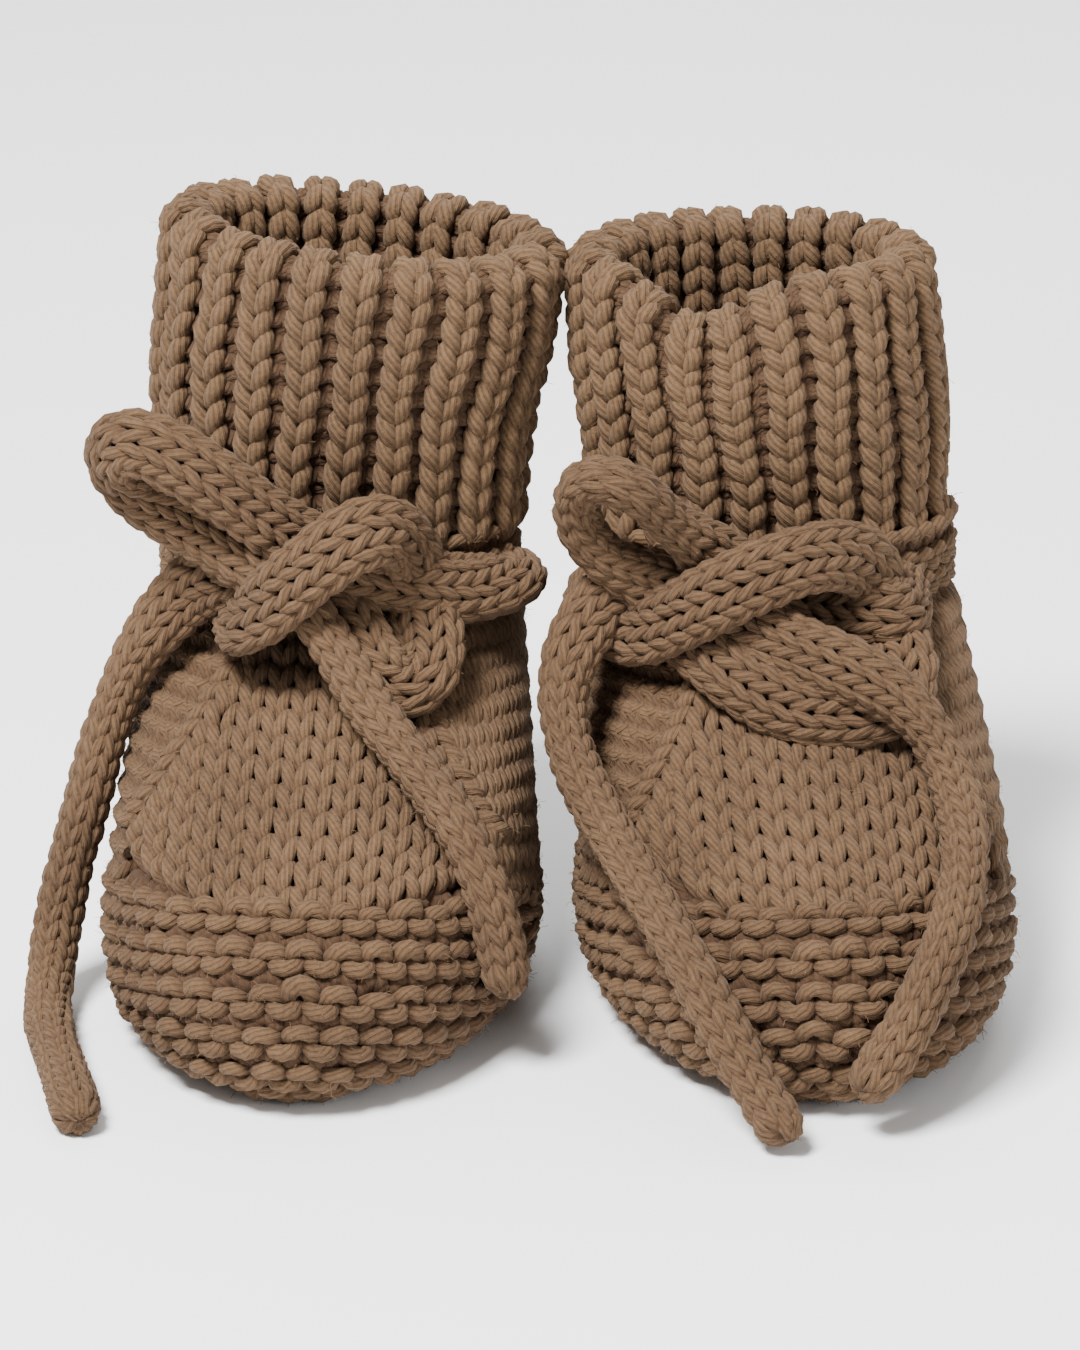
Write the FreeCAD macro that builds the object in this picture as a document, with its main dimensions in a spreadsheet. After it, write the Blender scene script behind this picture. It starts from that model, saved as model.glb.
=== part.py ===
"""A pair of hand-knitted baby booties: garter-stitch feet, stockinette insteps, ribbed legs with
turned-down cuffs, and a knitted tie threaded round each ankle and tied in a bow.

Each bootie is built in its own frame: the toe points along -Y, +Z is up, and the origin is the middle
of the tread. The two then stand side by side on the plane Z = 0, with their toes turned out.
Lengths are millimetres and angles are degrees.
"""
import FreeCAD, Part
import math
import os
from FreeCAD import Placement, Rotation, Vector

SIZES = (
    # name, value, what it is
    ("foot_length", 91.0, "heel to toe at the widest level of the foot"),
    ("foot_width", 58.0, "across the foot at its widest level"),
    ("edge_height", 10.0, "height of the widest level above the tread"),
    ("tread_inset", 7.5, "how far the tread lies inside the widest outline"),
    ("fabric", 3.2, "thickness of the knitted fabric"),
    ("sole_thickness", 4.0, "thickness of the garter-stitch sole"),
    ("sole_seam", 1.5, "from the edge of the tread in to the seam round the sole"),
    ("band_front", 27.0, "height of the toe cap where the instep starts"),
    ("band_side", 15.5, "height of the garter band along the sides and the heel"),
    ("toe_slope", 10.5, "how far the top of the toe cap lies behind the toe"),
    ("instep_bottom", 48.0, "width of the instep panel at the toe cap"),
    ("instep_top", 16.0, "width of the instep panel at the ankle"),
    ("ankle_height", 48.0, "height of the bottom of the eyelet band"),
    ("ankle_width", 50.0, "outside width of the eyelet band"),
    ("ankle_front", 8.5, "front of the eyelet band, behind the middle of the tread"),
    ("ankle_back", 42.5, "back of the eyelet band, behind the middle of the tread"),
    ("eyelets_height", 10.0, "height of the eyelet band"),
    ("eyelet_ease", 0.3, "space between the tie and the rim of an eyelet"),
    ("leg_width", 48.0, "outside width of the ribbed leg, under the cuff"),
    ("leg_front", 10.4, "front of the leg where it leaves the eyelet band"),
    ("leg_back", 41.8, "back of the leg where it leaves the eyelet band"),
    ("lean_back", 3.0, "how far the leg moves back on its way up"),
    ("lean_in", 1.6, "how far the leg moves toward the other bootie on its way up"),
    ("ply_gap", 0.3, "space between the leg and the cuff turned down over it"),
    ("rim_round", 4.0, "how far the turned rim of the cuff rolls in and stands over the leg"),
    ("left_cuff_top", 103.0, "height of the left cuff's rim"),
    ("right_cuff_top", 98.5, "height of the right cuff's rim"),
    ("tie_diameter", 5.8, "diameter of the knitted tie"),
    ("tie_ease", 0.4, "space between the tie and the eyelet band beside it"),
    ("stand_apart", 31.6, "from the middle of the pair to the middle of each tread"),
    ("stand_forward", 1.25, "how far the middle of each tread stands ahead of the middle of the pair"),
    ("toe_out", 4.5, "how far each toe is turned out"),
)
SIDES = {"left": -1, "right": 1}
OUTLINE_POINTS = 16
TANGENT_SHARE = 0.45

# The tie where the bootie holds it: angle round the eyelet band from straight ahead, place across the
# band from inside it (0) through its eyelets (0.5) to outside it (1), and height above its middle.
WAISTS = {
    "left": ((76, 0.5, 0), (106, 0, 0), (127, 0, 0), (150, 1, 0), (170, 1, 0), (190, 1, 0), (210, 1, 0),
             (233, 0, 0), (257, 0, 0), (280, 0, 0), (300, 0, -0.6), (318, 0, -1.6), (329, 0.5, -1.8)),
    "right": ((45, 0.5, -0.9), (54, 0, -0.8), (79, 0, 0), (104, 0, 0), (127, 0, 0), (150, 1, 0), (170, 1, 0),
              (190, 1, 0), (210, 1, 0), (233, 0, 0), (254, 0, -0.6), (284, 0.5, -1.2)),
}
# The free ends, from the middle of the eyelet band. Each starts where its waist tie comes out: the first
# strand makes the band, the upper loop and a tail, and the second makes the knot, the lower loop and a tail.
LOOP_STRANDS = {
    "left": ((25.7, -7.7, 0.1), (23.3, -13.0, 0.6), (17.6, -17.8, 1.2), (11.0, -22.0, 4.0),
             (4.0, -22.9, 5.7), (-2.5, -23.6, 9.2), (-9.0, -25.8, 14.8), (-14.8, -26.9, 19.6), (-20.4, -26.7, 23.0),
             (-25.4, -25.8, 23.8), (-28.0, -23.8, 20.0), (-25.8, -21.8, 15.6), (-18.0, -20.3, 10.9),
             (-11.0, -23.0, 7.6), (-5.9, -25.2, 5.0), (-1.0, -27.0, 1.2), (3.7, -30.5, -4.4),
             (7.9, -34.8, -9.8), (14.9, -41.7, -15.4), (20.8, -47.8, -20.7), (24.5, -51.1, -27.9),
             (26.6, -51.8, -35.9), (27.3, -53.2, -41.2)),
    "right": ((19.4, -19.6, -1.0), (15.8, -24.0, -0.6), (9.4, -22.9, 0.0), (3.0, -21.4, 0.3),
              (-5.0, -21.2, 2.0), (-9.7, -21.8, 6.0), (-13.6, -22.8, 10.0), (-17.5, -24.5, 13.6),
              (-21.5, -27.0, 18.6), (-26.0, -26.2, 20.2), (-29.0, -22.4, 17.6), (-28.8, -19.6, 11.4),
              (-25.0, -18.4, 5.6), (-17.8, -19.4, 2.0), (-11.0, -23.2, 0.2), (-5.8, -27.9, -1.2),
              (-0.3, -32.0, -2.4), (6.1, -34.8, -4.6), (12.7, -36.0, -8.2), (17.6, -38.9, -14.0),
              (19.4, -46.1, -20.0), (18.7, -55.4, -24.2), (15.6, -64.1, -29.9), (10.9, -70.8, -35.7),
              (6.8, -73.4, -42.0), (3.0, -75.1, -46.4)),
}
KNOT_STRANDS = {
    "left": ((-11.2, -25.0, -2.3), (-6.5, -29.5, 2.5), (-1.0, -31.5, 8.0), (4.0, -31.0, 12.3),
             (9.0, -27.0, 13.2), (12.0, -21.8, 8.6), (12.4, -18.6, 1.6), (14.9, -24.7, -5.2),
             (13.6, -28.3, -7.8), (10.2, -30.1, -8.1), (6.9, -29.6, -5.7), (3.8, -25.0, -0.6),
             (-1.5, -21.0, 3.0), (-7.3, -20.5, 4.8), (-12.5, -19.8, 3.8), (-18.0, -17.6, 0.6),
             (-22.9, -19.6, -4.6), (-27.2, -20.2, -12.0), (-29.7, -23.8, -19.5), (-31.2, -27.9, -26.5),
             (-33.5, -29.5, -34.5), (-35.2, -32.0, -42.5), (-35.4, -37.0, -48.3), (-34.6, -46.0, -50.0),
             (-31.8, -56.0, -49.9), (-28.6, -66.0, -50.0), (-25.4, -76.5, -50.0)),
    "right": ((-25.7, -7.7, -1.8), (-24.2, -13.2, -3.0), (-21.5, -19.7, -4.2), (-16.8, -25.0, -0.5), (-10.6, -29.6, 4.9),
              (-2.8, -30.2, 8.6), (4.8, -26.4, 9.0), (10.6, -21.0, 4.8), (13.8, -19.4, -2.2),
              (17.6, -25.2, -6.0), (16.3, -30.0, -9.6), (11.5, -33.7, -11.1), (4.5, -34.5, -10.8),
              (-1.5, -33.8, -10.0), (-8.0, -30.4, -7.2), (-12.8, -24.5, -4.1), (-16.0, -18.0, -1.5),
              (-20.0, -16.4, 0.8), (-24.5, -17.7, 0.3), (-29.3, -21.5, -4.2), (-31.6, -25.0, -11.4),
              (-30.0, -32.5, -18.4), (-26.2, -42.3, -23.7), (-22.0, -54.3, -27.6), (-17.8, -64.8, -33.2),
              (-13.4, -70.2, -41.0), (-9.6, -74.6, -47.3), (-7.0, -79.5, -49.8)),
}

document = FreeCAD.newDocument("Booties")
sheet = document.addObject("Spreadsheet::Sheet", "Sizes")
for row, (name, value, meaning) in enumerate(SIZES, start=1):
    sheet.set(f"A{row}", meaning)
    sheet.set(f"B{row}", str(value))
    sheet.setAlias(f"B{row}", name)
document.recompute()


def size(name):
    """Return a size from the sheet."""
    return float(sheet.get(name))


def add(kind, label, **properties):
    """Add an object with a label and set its properties."""
    item = document.addObject(kind, label)
    item.Label = label
    for name, value in properties.items():
        setattr(item, name, value)
    return item


def bind(item, **expressions):
    """Bind properties of an object to the sheet; an underscore in a name stands for a dot."""
    for name, expression in expressions.items():
        item.setExpression(name.replace("_", "."), expression)


def stand(item, sign):
    """Put an object of one bootie where that bootie stands."""
    item.Placement = Placement(Vector(sign * size("stand_apart"), -size("stand_forward"), 0),
                               Rotation(Vector(0, 0, sign), size("toe_out")))
    bind(item, Placement_Base_x=f"{sign} * Sizes.stand_apart", Placement_Base_y="-Sizes.stand_forward",
         Placement_Rotation_Angle="Sizes.toe_out")
    return item


def oval(half_width, front, back, height):
    """Return a smooth closed outline, widest midway between its front and its back."""
    points = []
    for index in range(OUTLINE_POINTS):
        angle = math.tau * index / OUTLINE_POINTS
        points.append(Vector(half_width * math.sin(angle),
                             (front + back) / 2 - (back - front) / 2 * math.cos(angle), height))
    curve = Part.BSplineCurve()
    curve.interpolate(points, PeriodicFlag=True)
    return Part.Wire(curve.toShape())


def foot_outlines():
    """Return the foot's outlines from the tread to the ankle: half width, front, back, height."""
    half_width, half_length = size("foot_width") / 2, size("foot_length") / 2
    edge, inset = size("edge_height"), size("tread_inset")
    top_front = -half_length + size("toe_slope")
    outlines = [
        (half_width - inset, -half_length + inset, half_length - inset, 0.0),
        (half_width - 0.33 * inset, -half_length + 0.33 * inset, half_length - 0.33 * inset, 0.35 * edge),
        (half_width, -half_length, half_length, edge),
        (half_width - 0.2, top_front - 0.8 * size("toe_slope"), half_length - 0.5,
         edge + 0.47 * (size("band_front") - edge)),
        (half_width - 1.0, top_front, half_length - 1.0, size("band_front")),
    ]
    for share in (1 / 3, 2 / 3, 1):
        outlines.append((
            half_width - 1.0 + share * (size("ankle_width") / 2 - half_width + 1.0),
            top_front + share * (size("ankle_front") - top_front),
            half_length - 1.0 + share * (size("ankle_back") - half_length + 1.0),
            size("band_front") + share * (size("ankle_height") - size("band_front"))))
    return outlines


def foot_shell():
    """Return the fabric of the foot, with its sole, from the tread to the ankle."""
    outlines = foot_outlines()
    outer = Part.makeLoft([oval(*outline) for outline in outlines], True, False)
    fabric, floor = size("fabric"), size("sole_thickness")
    slope = math.atan2(size("ankle_height") - size("band_front"),
                       size("ankle_front") + size("foot_length") / 2 - size("toe_slope"))
    inner = [(size("foot_width") / 2 - fabric - 2.0, -size("foot_length") / 2 + fabric + 2.0,
              size("foot_length") / 2 - fabric - 2.0, floor)]
    for half_width, front, back, height in outlines[2:]:
        over_toe = height >= size("band_front")
        depth = fabric / math.sin(slope) if over_toe and height < size("ankle_height") else fabric
        depth = 0.75 * fabric / math.sin(slope) if height == size("band_front") else depth
        inner.append((half_width - fabric, front + depth, back - fabric, height))
    return outer.cut(Part.makeLoft([oval(*outline) for outline in inner], True, False))


def wall(points, depth, shift):
    """Return a prism: an outline in the plane across +Y, moved by a shift and drawn out along +Y."""
    corners = [Vector(x, shift, z) for x, z in points]
    return Part.Face(Part.makePolygon(corners + corners[:1])).extrude(Vector(0, depth, 0))


def band_block():
    """Return the room taken by the garter band: high over the toe cap and low along the sides."""
    reach = size("foot_length")
    top_front = -size("foot_length") / 2 + size("toe_slope")
    profile = ((-reach, -1.0), (-reach, size("band_front")), (top_front, size("band_front")),
               (0.0, size("band_side")), (reach, size("band_side")), (reach, -1.0))
    corners = [Vector(-reach, y, z) for y, z in profile]
    return Part.Face(Part.makePolygon(corners + corners[:1])).extrude(Vector(2 * reach, 0, 0))


def instep_block():
    """Return the room taken by the instep panel, which narrows toward the ankle."""
    low, high = size("band_side"), size("ankle_height") + 1.0
    half_bottom = min(size("instep_bottom") / 2, size("foot_width") / 2 - 5.0)
    half_top = size("instep_top") / 2
    outline = ((-half_bottom, low), (-half_bottom, size("band_front")), (-half_top, high),
               (half_top, high), (half_bottom, size("band_front")), (half_bottom, low))
    reach = size("foot_length")
    return wall(outline, reach + size("ankle_front") + 1.3 * size("fabric"), -reach)


def waist_points(side, middle):
    """Return the route of the tie where the bootie holds it, round the middle of the eyelet band."""
    radius = size("tie_diameter") / 2 + size("tie_ease")
    half_width = size("ankle_width") / 2
    half_depth = (size("ankle_back") - size("ankle_front")) / 2
    points = []
    for angle, across, height in WAISTS[side]:
        step = across * radius - (1 - across) * (radius + size("fabric"))
        points.append(middle + Vector((half_width + step) * math.sin(math.radians(angle)),
                                      -(half_depth + step) * math.cos(math.radians(angle)), height))
    return points


def tie_wire(points):
    """Return the centre line of a tie, as straight runs joined by tangent arcs, and the arcs' radii."""
    edges, radii = [], []
    start = points[0]
    for before, corner, after in zip(points, points[1:], points[2:]):
        arriving, leaving = (corner - before), (after - corner)
        reach = TANGENT_SHARE * min(arriving.Length, leaving.Length)
        half_turn = arriving.getAngle(leaving) / 2
        radius = reach / math.tan(half_turn)
        arriving.normalize()
        leaving.normalize()
        first, last = corner - arriving * reach, corner + leaving * reach
        inward = (leaving - arriving).normalize()
        middle = corner + inward * (radius / math.cos(half_turn) - radius)
        edges += [Part.LineSegment(start, first).toShape(), Part.Arc(first, middle, last).toShape()]
        radii.append(radius)
        start = last
    edges.append(Part.LineSegment(start, points[-1]).toShape())
    return Part.Wire(edges), radii


def tube(points, radius):
    """Return a round tube along a route, its centre line's length, and the radii of its bends."""
    wire, radii = tie_wire(points)
    along = (points[1] - points[0]).normalize()
    ring = Part.Wire(Part.Circle(points[0], along, radius).toShape())
    return wire.makePipeShell([ring], True, False), wire.Length, radii


def solid(label, shape, sign):
    """Add a shape made by functions as a named object, standing where its bootie stands.

    Slivers under a fiftieth of the whole, which a cut through a curved wall can leave, are dropped.
    """
    whole = [piece for piece in shape.Solids if piece.Volume > shape.Volume / 50]
    item = add("Part::Feature", label)
    item.Shape = whole[0] if len(whole) == 1 else shape
    return stand(item, sign)


def ring_section(label, half_width, front, back, height, shift):
    """Add an elliptical section whose sizes and place are expressions."""
    item = add("Part::Ellipse", label, MajorRadius=30, MinorRadius=10)
    bind(item, MajorRadius=half_width, MinorRadius=f"(({back}) - ({front})) / 2",
         Placement_Base_x=shift, Placement_Base_y=f"(({back}) + ({front})) / 2", Placement_Base_z=height)
    return item


def ring_loft(label, sections):
    """Add a straight-sided loft through elliptical sections given as expressions."""
    rings = [ring_section(f"{label}_section_{index}", *section) for index, section in enumerate(sections)]
    return add("Part::Loft", label, Sections=rings, Solid=True, Ruled=True)


def minus(label, base, *tools):
    """Add the cut of a base by one tool after another."""
    for index, tool in enumerate(tools):
        last = index == len(tools) - 1
        base = add("Part::Cut", label if last else f"{label}_cut_{index}", Base=base, Tool=tool)
    return base


nodes = []
for side, sign in SIDES.items():
    tie_radius = size("tie_diameter") / 2
    middle = Vector(0, (size("ankle_front") + size("ankle_back")) / 2,
                    size("ankle_height") + size("eyelets_height") / 2)

    # Foot: the sole, the garter band with its toe cap, the instep panel and the rest of the upper.
    outline = add("Part::Ellipse", f"{side}_sole_outline", MajorRadius=40, MinorRadius=20)
    outline.Placement = Placement(Vector(0, 0, 0), Rotation(Vector(0, 0, 1), 90))
    bind(outline, MajorRadius="Sizes.foot_length / 2 - Sizes.tread_inset - Sizes.sole_seam",
         MinorRadius="Sizes.foot_width / 2 - Sizes.tread_inset - Sizes.sole_seam")
    sole = add("Part::Extrusion", f"{side}_sole", Base=outline, DirMode="Custom", Dir=Vector(0, 0, 1),
               Solid=True)
    bind(sole, LengthFwd="Sizes.sole_thickness")
    nodes.append(stand(sole, sign))
    document.recompute()

    shell = foot_shell().cut(Part.Face(Part.Wire(outline.Shape)).extrude(Vector(0, 0, size("sole_thickness"))))
    upper = shell.cut(band_block())
    nodes.append(solid(f"{side}_foot_band", shell.common(band_block()), sign))
    nodes.append(solid(f"{side}_instep", upper.common(instep_block()), sign))
    nodes.append(solid(f"{side}_quarter", upper.cut(instep_block()), sign))

    # Eyelet band: an upright band with a hole wherever the tie goes through it.
    bands = []
    for name, step in (("outside", "0 mm"), ("inside", "Sizes.fabric * 1 mm")):
        oval_ring = ring_section(f"{side}_band_{name}_outline", f"Sizes.ankle_width / 2 - {step} / 1 mm",
                                 f"Sizes.ankle_front + {step} / 1 mm", f"Sizes.ankle_back - {step} / 1 mm",
                                 "Sizes.ankle_height", "0")
        block = add("Part::Extrusion", f"{side}_band_{name}", Base=oval_ring, DirMode="Custom",
                    Dir=Vector(0, 0, 1), Solid=True)
        bind(block, LengthFwd="Sizes.eyelets_height")
        bands.append(block)
    waist = waist_points(side, middle)
    loop = [middle + Vector(*point) for point in LOOP_STRANDS[side]]
    knot = [middle + Vector(*point) for point in KNOT_STRANDS[side]]
    room = add("Part::Feature", f"{side}_tie_room")
    room.Shape = tube(loop[:1] + waist[1:-1] + knot[:1], tie_radius + size("eyelet_ease"))[0]
    nodes.append(stand(minus(f"{side}_eyelet_band", *bands, room), sign))

    # Leg: a ribbed tube that leans back and toward the other bootie.
    leg_base = "Sizes.ankle_height + Sizes.eyelets_height"
    leg_top = f"Sizes.{side}_cuff_top - Sizes.rim_round"

    def leg_sections(step, bottom, top):
        """Return the bottom and top sections of the leg, moved outward by an expression."""
        sections = []
        for height in (bottom, top):
            share = f"(({height}) - ({leg_base})) / (({leg_top}) - ({leg_base}))"
            sections.append((f"Sizes.leg_width / 2 + ({step})",
                             f"Sizes.leg_front - ({step}) + Sizes.lean_back * ({share})",
                             f"Sizes.leg_back + ({step}) + Sizes.lean_back * ({share})",
                             height, f"{-sign} * Sizes.lean_in * ({share})"))
        return sections

    cuff_top = f"Sizes.{side}_cuff_top"
    leg_outside = ring_loft(f"{side}_leg_outside", leg_sections("0", leg_base, leg_top))
    leg_inside = ring_loft(f"{side}_leg_inside", leg_sections("-Sizes.fabric", leg_base, leg_top))
    nodes.append(stand(minus(f"{side}_leg", leg_outside, leg_inside), sign))

    # Cuff: the same fabric turned down over the leg, with a rolled rim resting on the leg's top.
    hem = f"{leg_base} + Sizes.ply_gap"
    outward = "Sizes.fabric + Sizes.ply_gap"
    shoulder = leg_sections(outward, hem, f"{cuff_top} - 1.3 * Sizes.rim_round")
    crown = [leg_sections(f"{outward} - {inward} * Sizes.rim_round", hem, f"{cuff_top} - {down} * Sizes.rim_round")[1]
             for inward, down in ((0.22, 0.55), (0.55, 0.15), (0.95, 0.0))]
    cuff_outside = ring_loft(f"{side}_cuff_outside", shoulder + crown)
    cuff_ply = ring_loft(f"{side}_cuff_ply", leg_sections("Sizes.ply_gap", hem, leg_top))
    cuff_mouth = ring_loft(f"{side}_cuff_mouth", leg_sections("-Sizes.fabric", hem, cuff_top))
    nodes.append(stand(minus(f"{side}_cuff", cuff_outside, cuff_ply, cuff_mouth), sign))

    # Tie: the stretch the bootie holds, then the two free strands.
    strands = ((f"{side}_tie_waist", waist), (f"{side}_tie_loop", waist[:1] + loop),
               (f"{side}_tie_knot", waist[-1:] + knot))
    for label, points in strands:
        shape, length, radii = tube(points, tie_radius)
        section = math.pi * tie_radius ** 2
        print(f"{label}: length {length:.1f}, volume over section times length "
              f"{shape.Volume / (section * length):.4f}, tightest bend {min(radii):.1f}")
        print("   radii " + " ".join(f"{radius:.1f}" for radius in radii))
        nodes.append(solid(label, shape, sign))

document.recompute()

os.makedirs("parts", exist_ok=True)
for node in document.Objects:
    if {"Invalid", "Error"} & set(node.State):
        raise RuntimeError(f"{node.Label}: {node.State}")
for node in nodes:
    shape = node.Shape
    if shape.isNull() or not shape.isValid() or len(shape.Solids) != 1 or shape.Volume <= 0:
        raise RuntimeError(f"{node.Label}: not one sound solid ({len(shape.Solids)} solids)")
    shape.exportStep(os.path.join("parts", f"{node.Label}.step"))
    box = shape.BoundBox
    print(f"{node.Label}: {shape.Volume:.0f} mm3, x {box.XMin:.1f} to {box.XMax:.1f}, "
          f"y {box.YMin:.1f} to {box.YMax:.1f}, z {box.ZMin:.1f} to {box.ZMax:.1f}")
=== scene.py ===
"""Looks of a pair of hand-knitted baby booties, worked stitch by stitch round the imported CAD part."""

import logging
import math
from dataclasses import dataclass, field
from enum import Enum
from typing import Callable, Optional, Union

import bmesh
import bpy
import numpy as np
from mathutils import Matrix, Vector


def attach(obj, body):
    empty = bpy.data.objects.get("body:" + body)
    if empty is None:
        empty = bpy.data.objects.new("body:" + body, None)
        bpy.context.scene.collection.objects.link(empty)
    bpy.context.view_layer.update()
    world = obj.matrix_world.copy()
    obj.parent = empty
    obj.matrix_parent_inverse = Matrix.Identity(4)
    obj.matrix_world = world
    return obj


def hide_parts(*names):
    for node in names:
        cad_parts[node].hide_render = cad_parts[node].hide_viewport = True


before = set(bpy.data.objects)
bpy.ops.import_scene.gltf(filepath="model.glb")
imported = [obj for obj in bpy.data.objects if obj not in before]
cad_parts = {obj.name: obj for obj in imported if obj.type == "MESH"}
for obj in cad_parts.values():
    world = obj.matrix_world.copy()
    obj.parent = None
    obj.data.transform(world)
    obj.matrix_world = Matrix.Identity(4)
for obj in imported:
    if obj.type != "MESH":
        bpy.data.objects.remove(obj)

LOG = logging.getLogger("booties")
MM = 0.001
Points = np.ndarray
Surface = Callable[[np.ndarray, np.ndarray], Points]
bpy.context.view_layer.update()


class Side(Enum):
    """A bootie of the pair, as seen from the toes, with the sign of its X."""

    LEFT = -1
    RIGHT = 1

    @property
    def label(self) -> str:
        """The bootie's name in node and piece names."""
        return self.name.lower()


class Stitch(Enum):
    """A kind of stitch, with the way its loop's head and feet stand out of the fabric."""

    KNIT = -1.0
    PURL = 1.0


# ------------------------------------------------------------------ materials


class Socket:
    """A shader value that builds Math nodes from Python operators."""

    def __init__(self, shader: "Shader", output: bpy.types.NodeSocket) -> None:
        """Wrap a node's output socket."""
        self.shader = shader
        self.output = output

    def _math(self, operation: str, *values: Union["Socket", float]) -> "Socket":
        """Add a Math node over values, in order."""
        return self.shader.node("ShaderNodeMath", {"operation": operation}, dict(enumerate(values)))

    def __add__(self, other: Union["Socket", float]) -> "Socket":
        """Add."""
        return self._math("ADD", self, other)

    __radd__ = __add__

    def __mul__(self, other: Union["Socket", float]) -> "Socket":
        """Multiply."""
        return self._math("MULTIPLY", self, other)

    __rmul__ = __mul__

    def __sub__(self, other: Union["Socket", float]) -> "Socket":
        """Subtract."""
        return self._math("SUBTRACT", self, other)

    def __rsub__(self, other: float) -> "Socket":
        """Subtract from a number."""
        return self._math("SUBTRACT", other, self)

    def sine(self) -> "Socket":
        """Sine of the value."""
        return self._math("SINE", self)

    def power(self, exponent: float) -> "Socket":
        """Value raised to a power."""
        return self._math("POWER", self, exponent)

    def clamp(self, low: float, high: float) -> "Socket":
        """Value kept between two numbers."""
        return self._math("MINIMUM", self._math("MAXIMUM", self, low), high)


class Shader:
    """A node material under construction."""

    def __init__(self, name: str) -> None:
        """Start an empty material with a Principled surface."""
        self.material = bpy.data.materials.new(name)
        self.material.use_nodes = True
        self.tree = self.material.node_tree
        self.surface = self.tree.nodes["Principled BSDF"]

    def node(self, kind: str, settings: Optional[dict] = None, inputs: Optional[dict] = None,
             output: Union[int, str] = 0) -> Socket:
        """Add a node.

        Args:
            kind: The node's type.
            settings: Properties that are set first.
            inputs: Values or sockets by input name or number.
            output: The output to return.

        Returns:
            The chosen output.
        """
        made = self.tree.nodes.new(kind)
        for name, value in (settings or {}).items():
            setattr(made, name, value)
        for name, value in (inputs or {}).items():
            self.feed(made.inputs[name], value)
        return Socket(self, made.outputs[output])

    def feed(self, socket: bpy.types.NodeSocket, value: object) -> None:
        """Link a socket's output to an input, or set a plain value on it."""
        if isinstance(value, Socket):
            self.tree.links.new(value.output, socket)
        else:
            socket.default_value = value

    def blend(self, share: Socket, first: object, second: object) -> Socket:
        """Mix two colours by a share from 0 to 1.

        Args:
            share: How much of the second colour there is.
            first: A colour or a socket.
            second: A colour or a socket.

        Returns:
            The mixed colour.
        """
        mix = self.tree.nodes.new("ShaderNodeMix")
        mix.data_type = "RGBA"
        for name, value in (("Factor_Float", share), ("A_Color", first), ("B_Color", second)):
            socket = next(item for item in mix.inputs if item.identifier == name)
            self.feed(socket, value)
        return Socket(self, next(item for item in mix.outputs if item.identifier == "Result_Color"))

    def finish(self, **inputs: object) -> bpy.types.Material:
        """Set the surface's inputs, where an underscore in a name stands for a space."""
        for name, value in inputs.items():
            self.feed(self.surface.inputs[name.replace("_", " ")], value)
        return self.material


@dataclass(frozen=True)
class CottonYarn:
    """Soft plied cotton yarn, warm taupe, with its plies lying at a slant along it, and painted shade on the
    yarn that lies deep in the fabric.
    """

    name: str = "cotton_yarn"
    light: tuple = (0.152, 0.0885, 0.0455, 1.0)
    deep: tuple = (0.041, 0.0222, 0.0108, 1.0)
    # inner is painted shade: the colour of yarn that lies deep among the stitches, where shade falls.
    inner: tuple = (0.04, 0.019, 0.0095, 1.0)
    plies: int = 8
    turns_per_stitch: float = 13.0
    fibre_scale: float = 1500.0
    bump: float = 0.55

    def make(self) -> bpy.types.Material:
        """Build the yarn's material.

        Returns:
            The material, which reads the yarn's own UV map and Object coordinates.
        """
        shader = Shader(self.name)
        uv = shader.node("ShaderNodeUVMap", {"uv_map": "UVMap"})
        along = shader.node("ShaderNodeSeparateXYZ", inputs={0: uv}, output="X")
        around = shader.node("ShaderNodeSeparateXYZ", inputs={0: uv}, output="Y")
        place = shader.node("ShaderNodeTexCoord", output="Object")
        wander = shader.node("ShaderNodeTexNoise", {"noise_dimensions": "3D"},
                             {"Vector": place, "Scale": 420.0, "Detail": 2.0}, "Fac")
        angle = (around * self.plies + along * self.turns_per_stitch) * math.tau + wander * 3.0
        ply = angle.sine() * 0.5 + 0.5
        strands = around * (self.plies * 3) + along * self.turns_per_stitch * 3
        fine = (strands * math.tau + wander * 6.0).sine()
        fibre = shader.node("ShaderNodeTexNoise", {"noise_dimensions": "3D"},
                            {"Vector": place, "Scale": self.fibre_scale, "Detail": 4.0, "Roughness": 0.7},
                            "Fac")
        cloud = shader.node("ShaderNodeTexNoise", {"noise_dimensions": "3D"},
                            {"Vector": place, "Scale": 60.0, "Detail": 3.0}, "Fac")
        tone = (ply.power(0.6) * 0.42 + fine * 0.06 + fibre * 1.2 + cloud * 0.9 - 0.78).clamp(0.0, 1.0)
        proud = shader.node("ShaderNodeAttribute", {"attribute_type": "GEOMETRY", "attribute_name": "proud"},
                            output="Fac")
        open_yarn = shader.blend(tone, self.deep, self.light)
        # Painted shade: yarn that lies deep in the fabric, by its proud mark, is blended towards the dark
        # inner colour.
        colour = shader.blend((proud * 1.25 - 0.12).clamp(0.0, 1.0), self.inner, open_yarn)
        height = ply.power(0.5) * 0.6 + fine * 0.1 + fibre * 0.8
        bump = shader.node("ShaderNodeBump", inputs={"Strength": self.bump, "Distance": 0.0005,
                                                     "Height": height}, output="Normal")
        return shader.finish(Base_Color=colour, Roughness=0.9, Normal=bump, Sheen_Weight=0.08,
                             Sheen_Roughness=0.5, Sheen_Tint=(0.8, 0.6, 0.45, 1.0),
                             Specular_IOR_Level=0.2)


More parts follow.
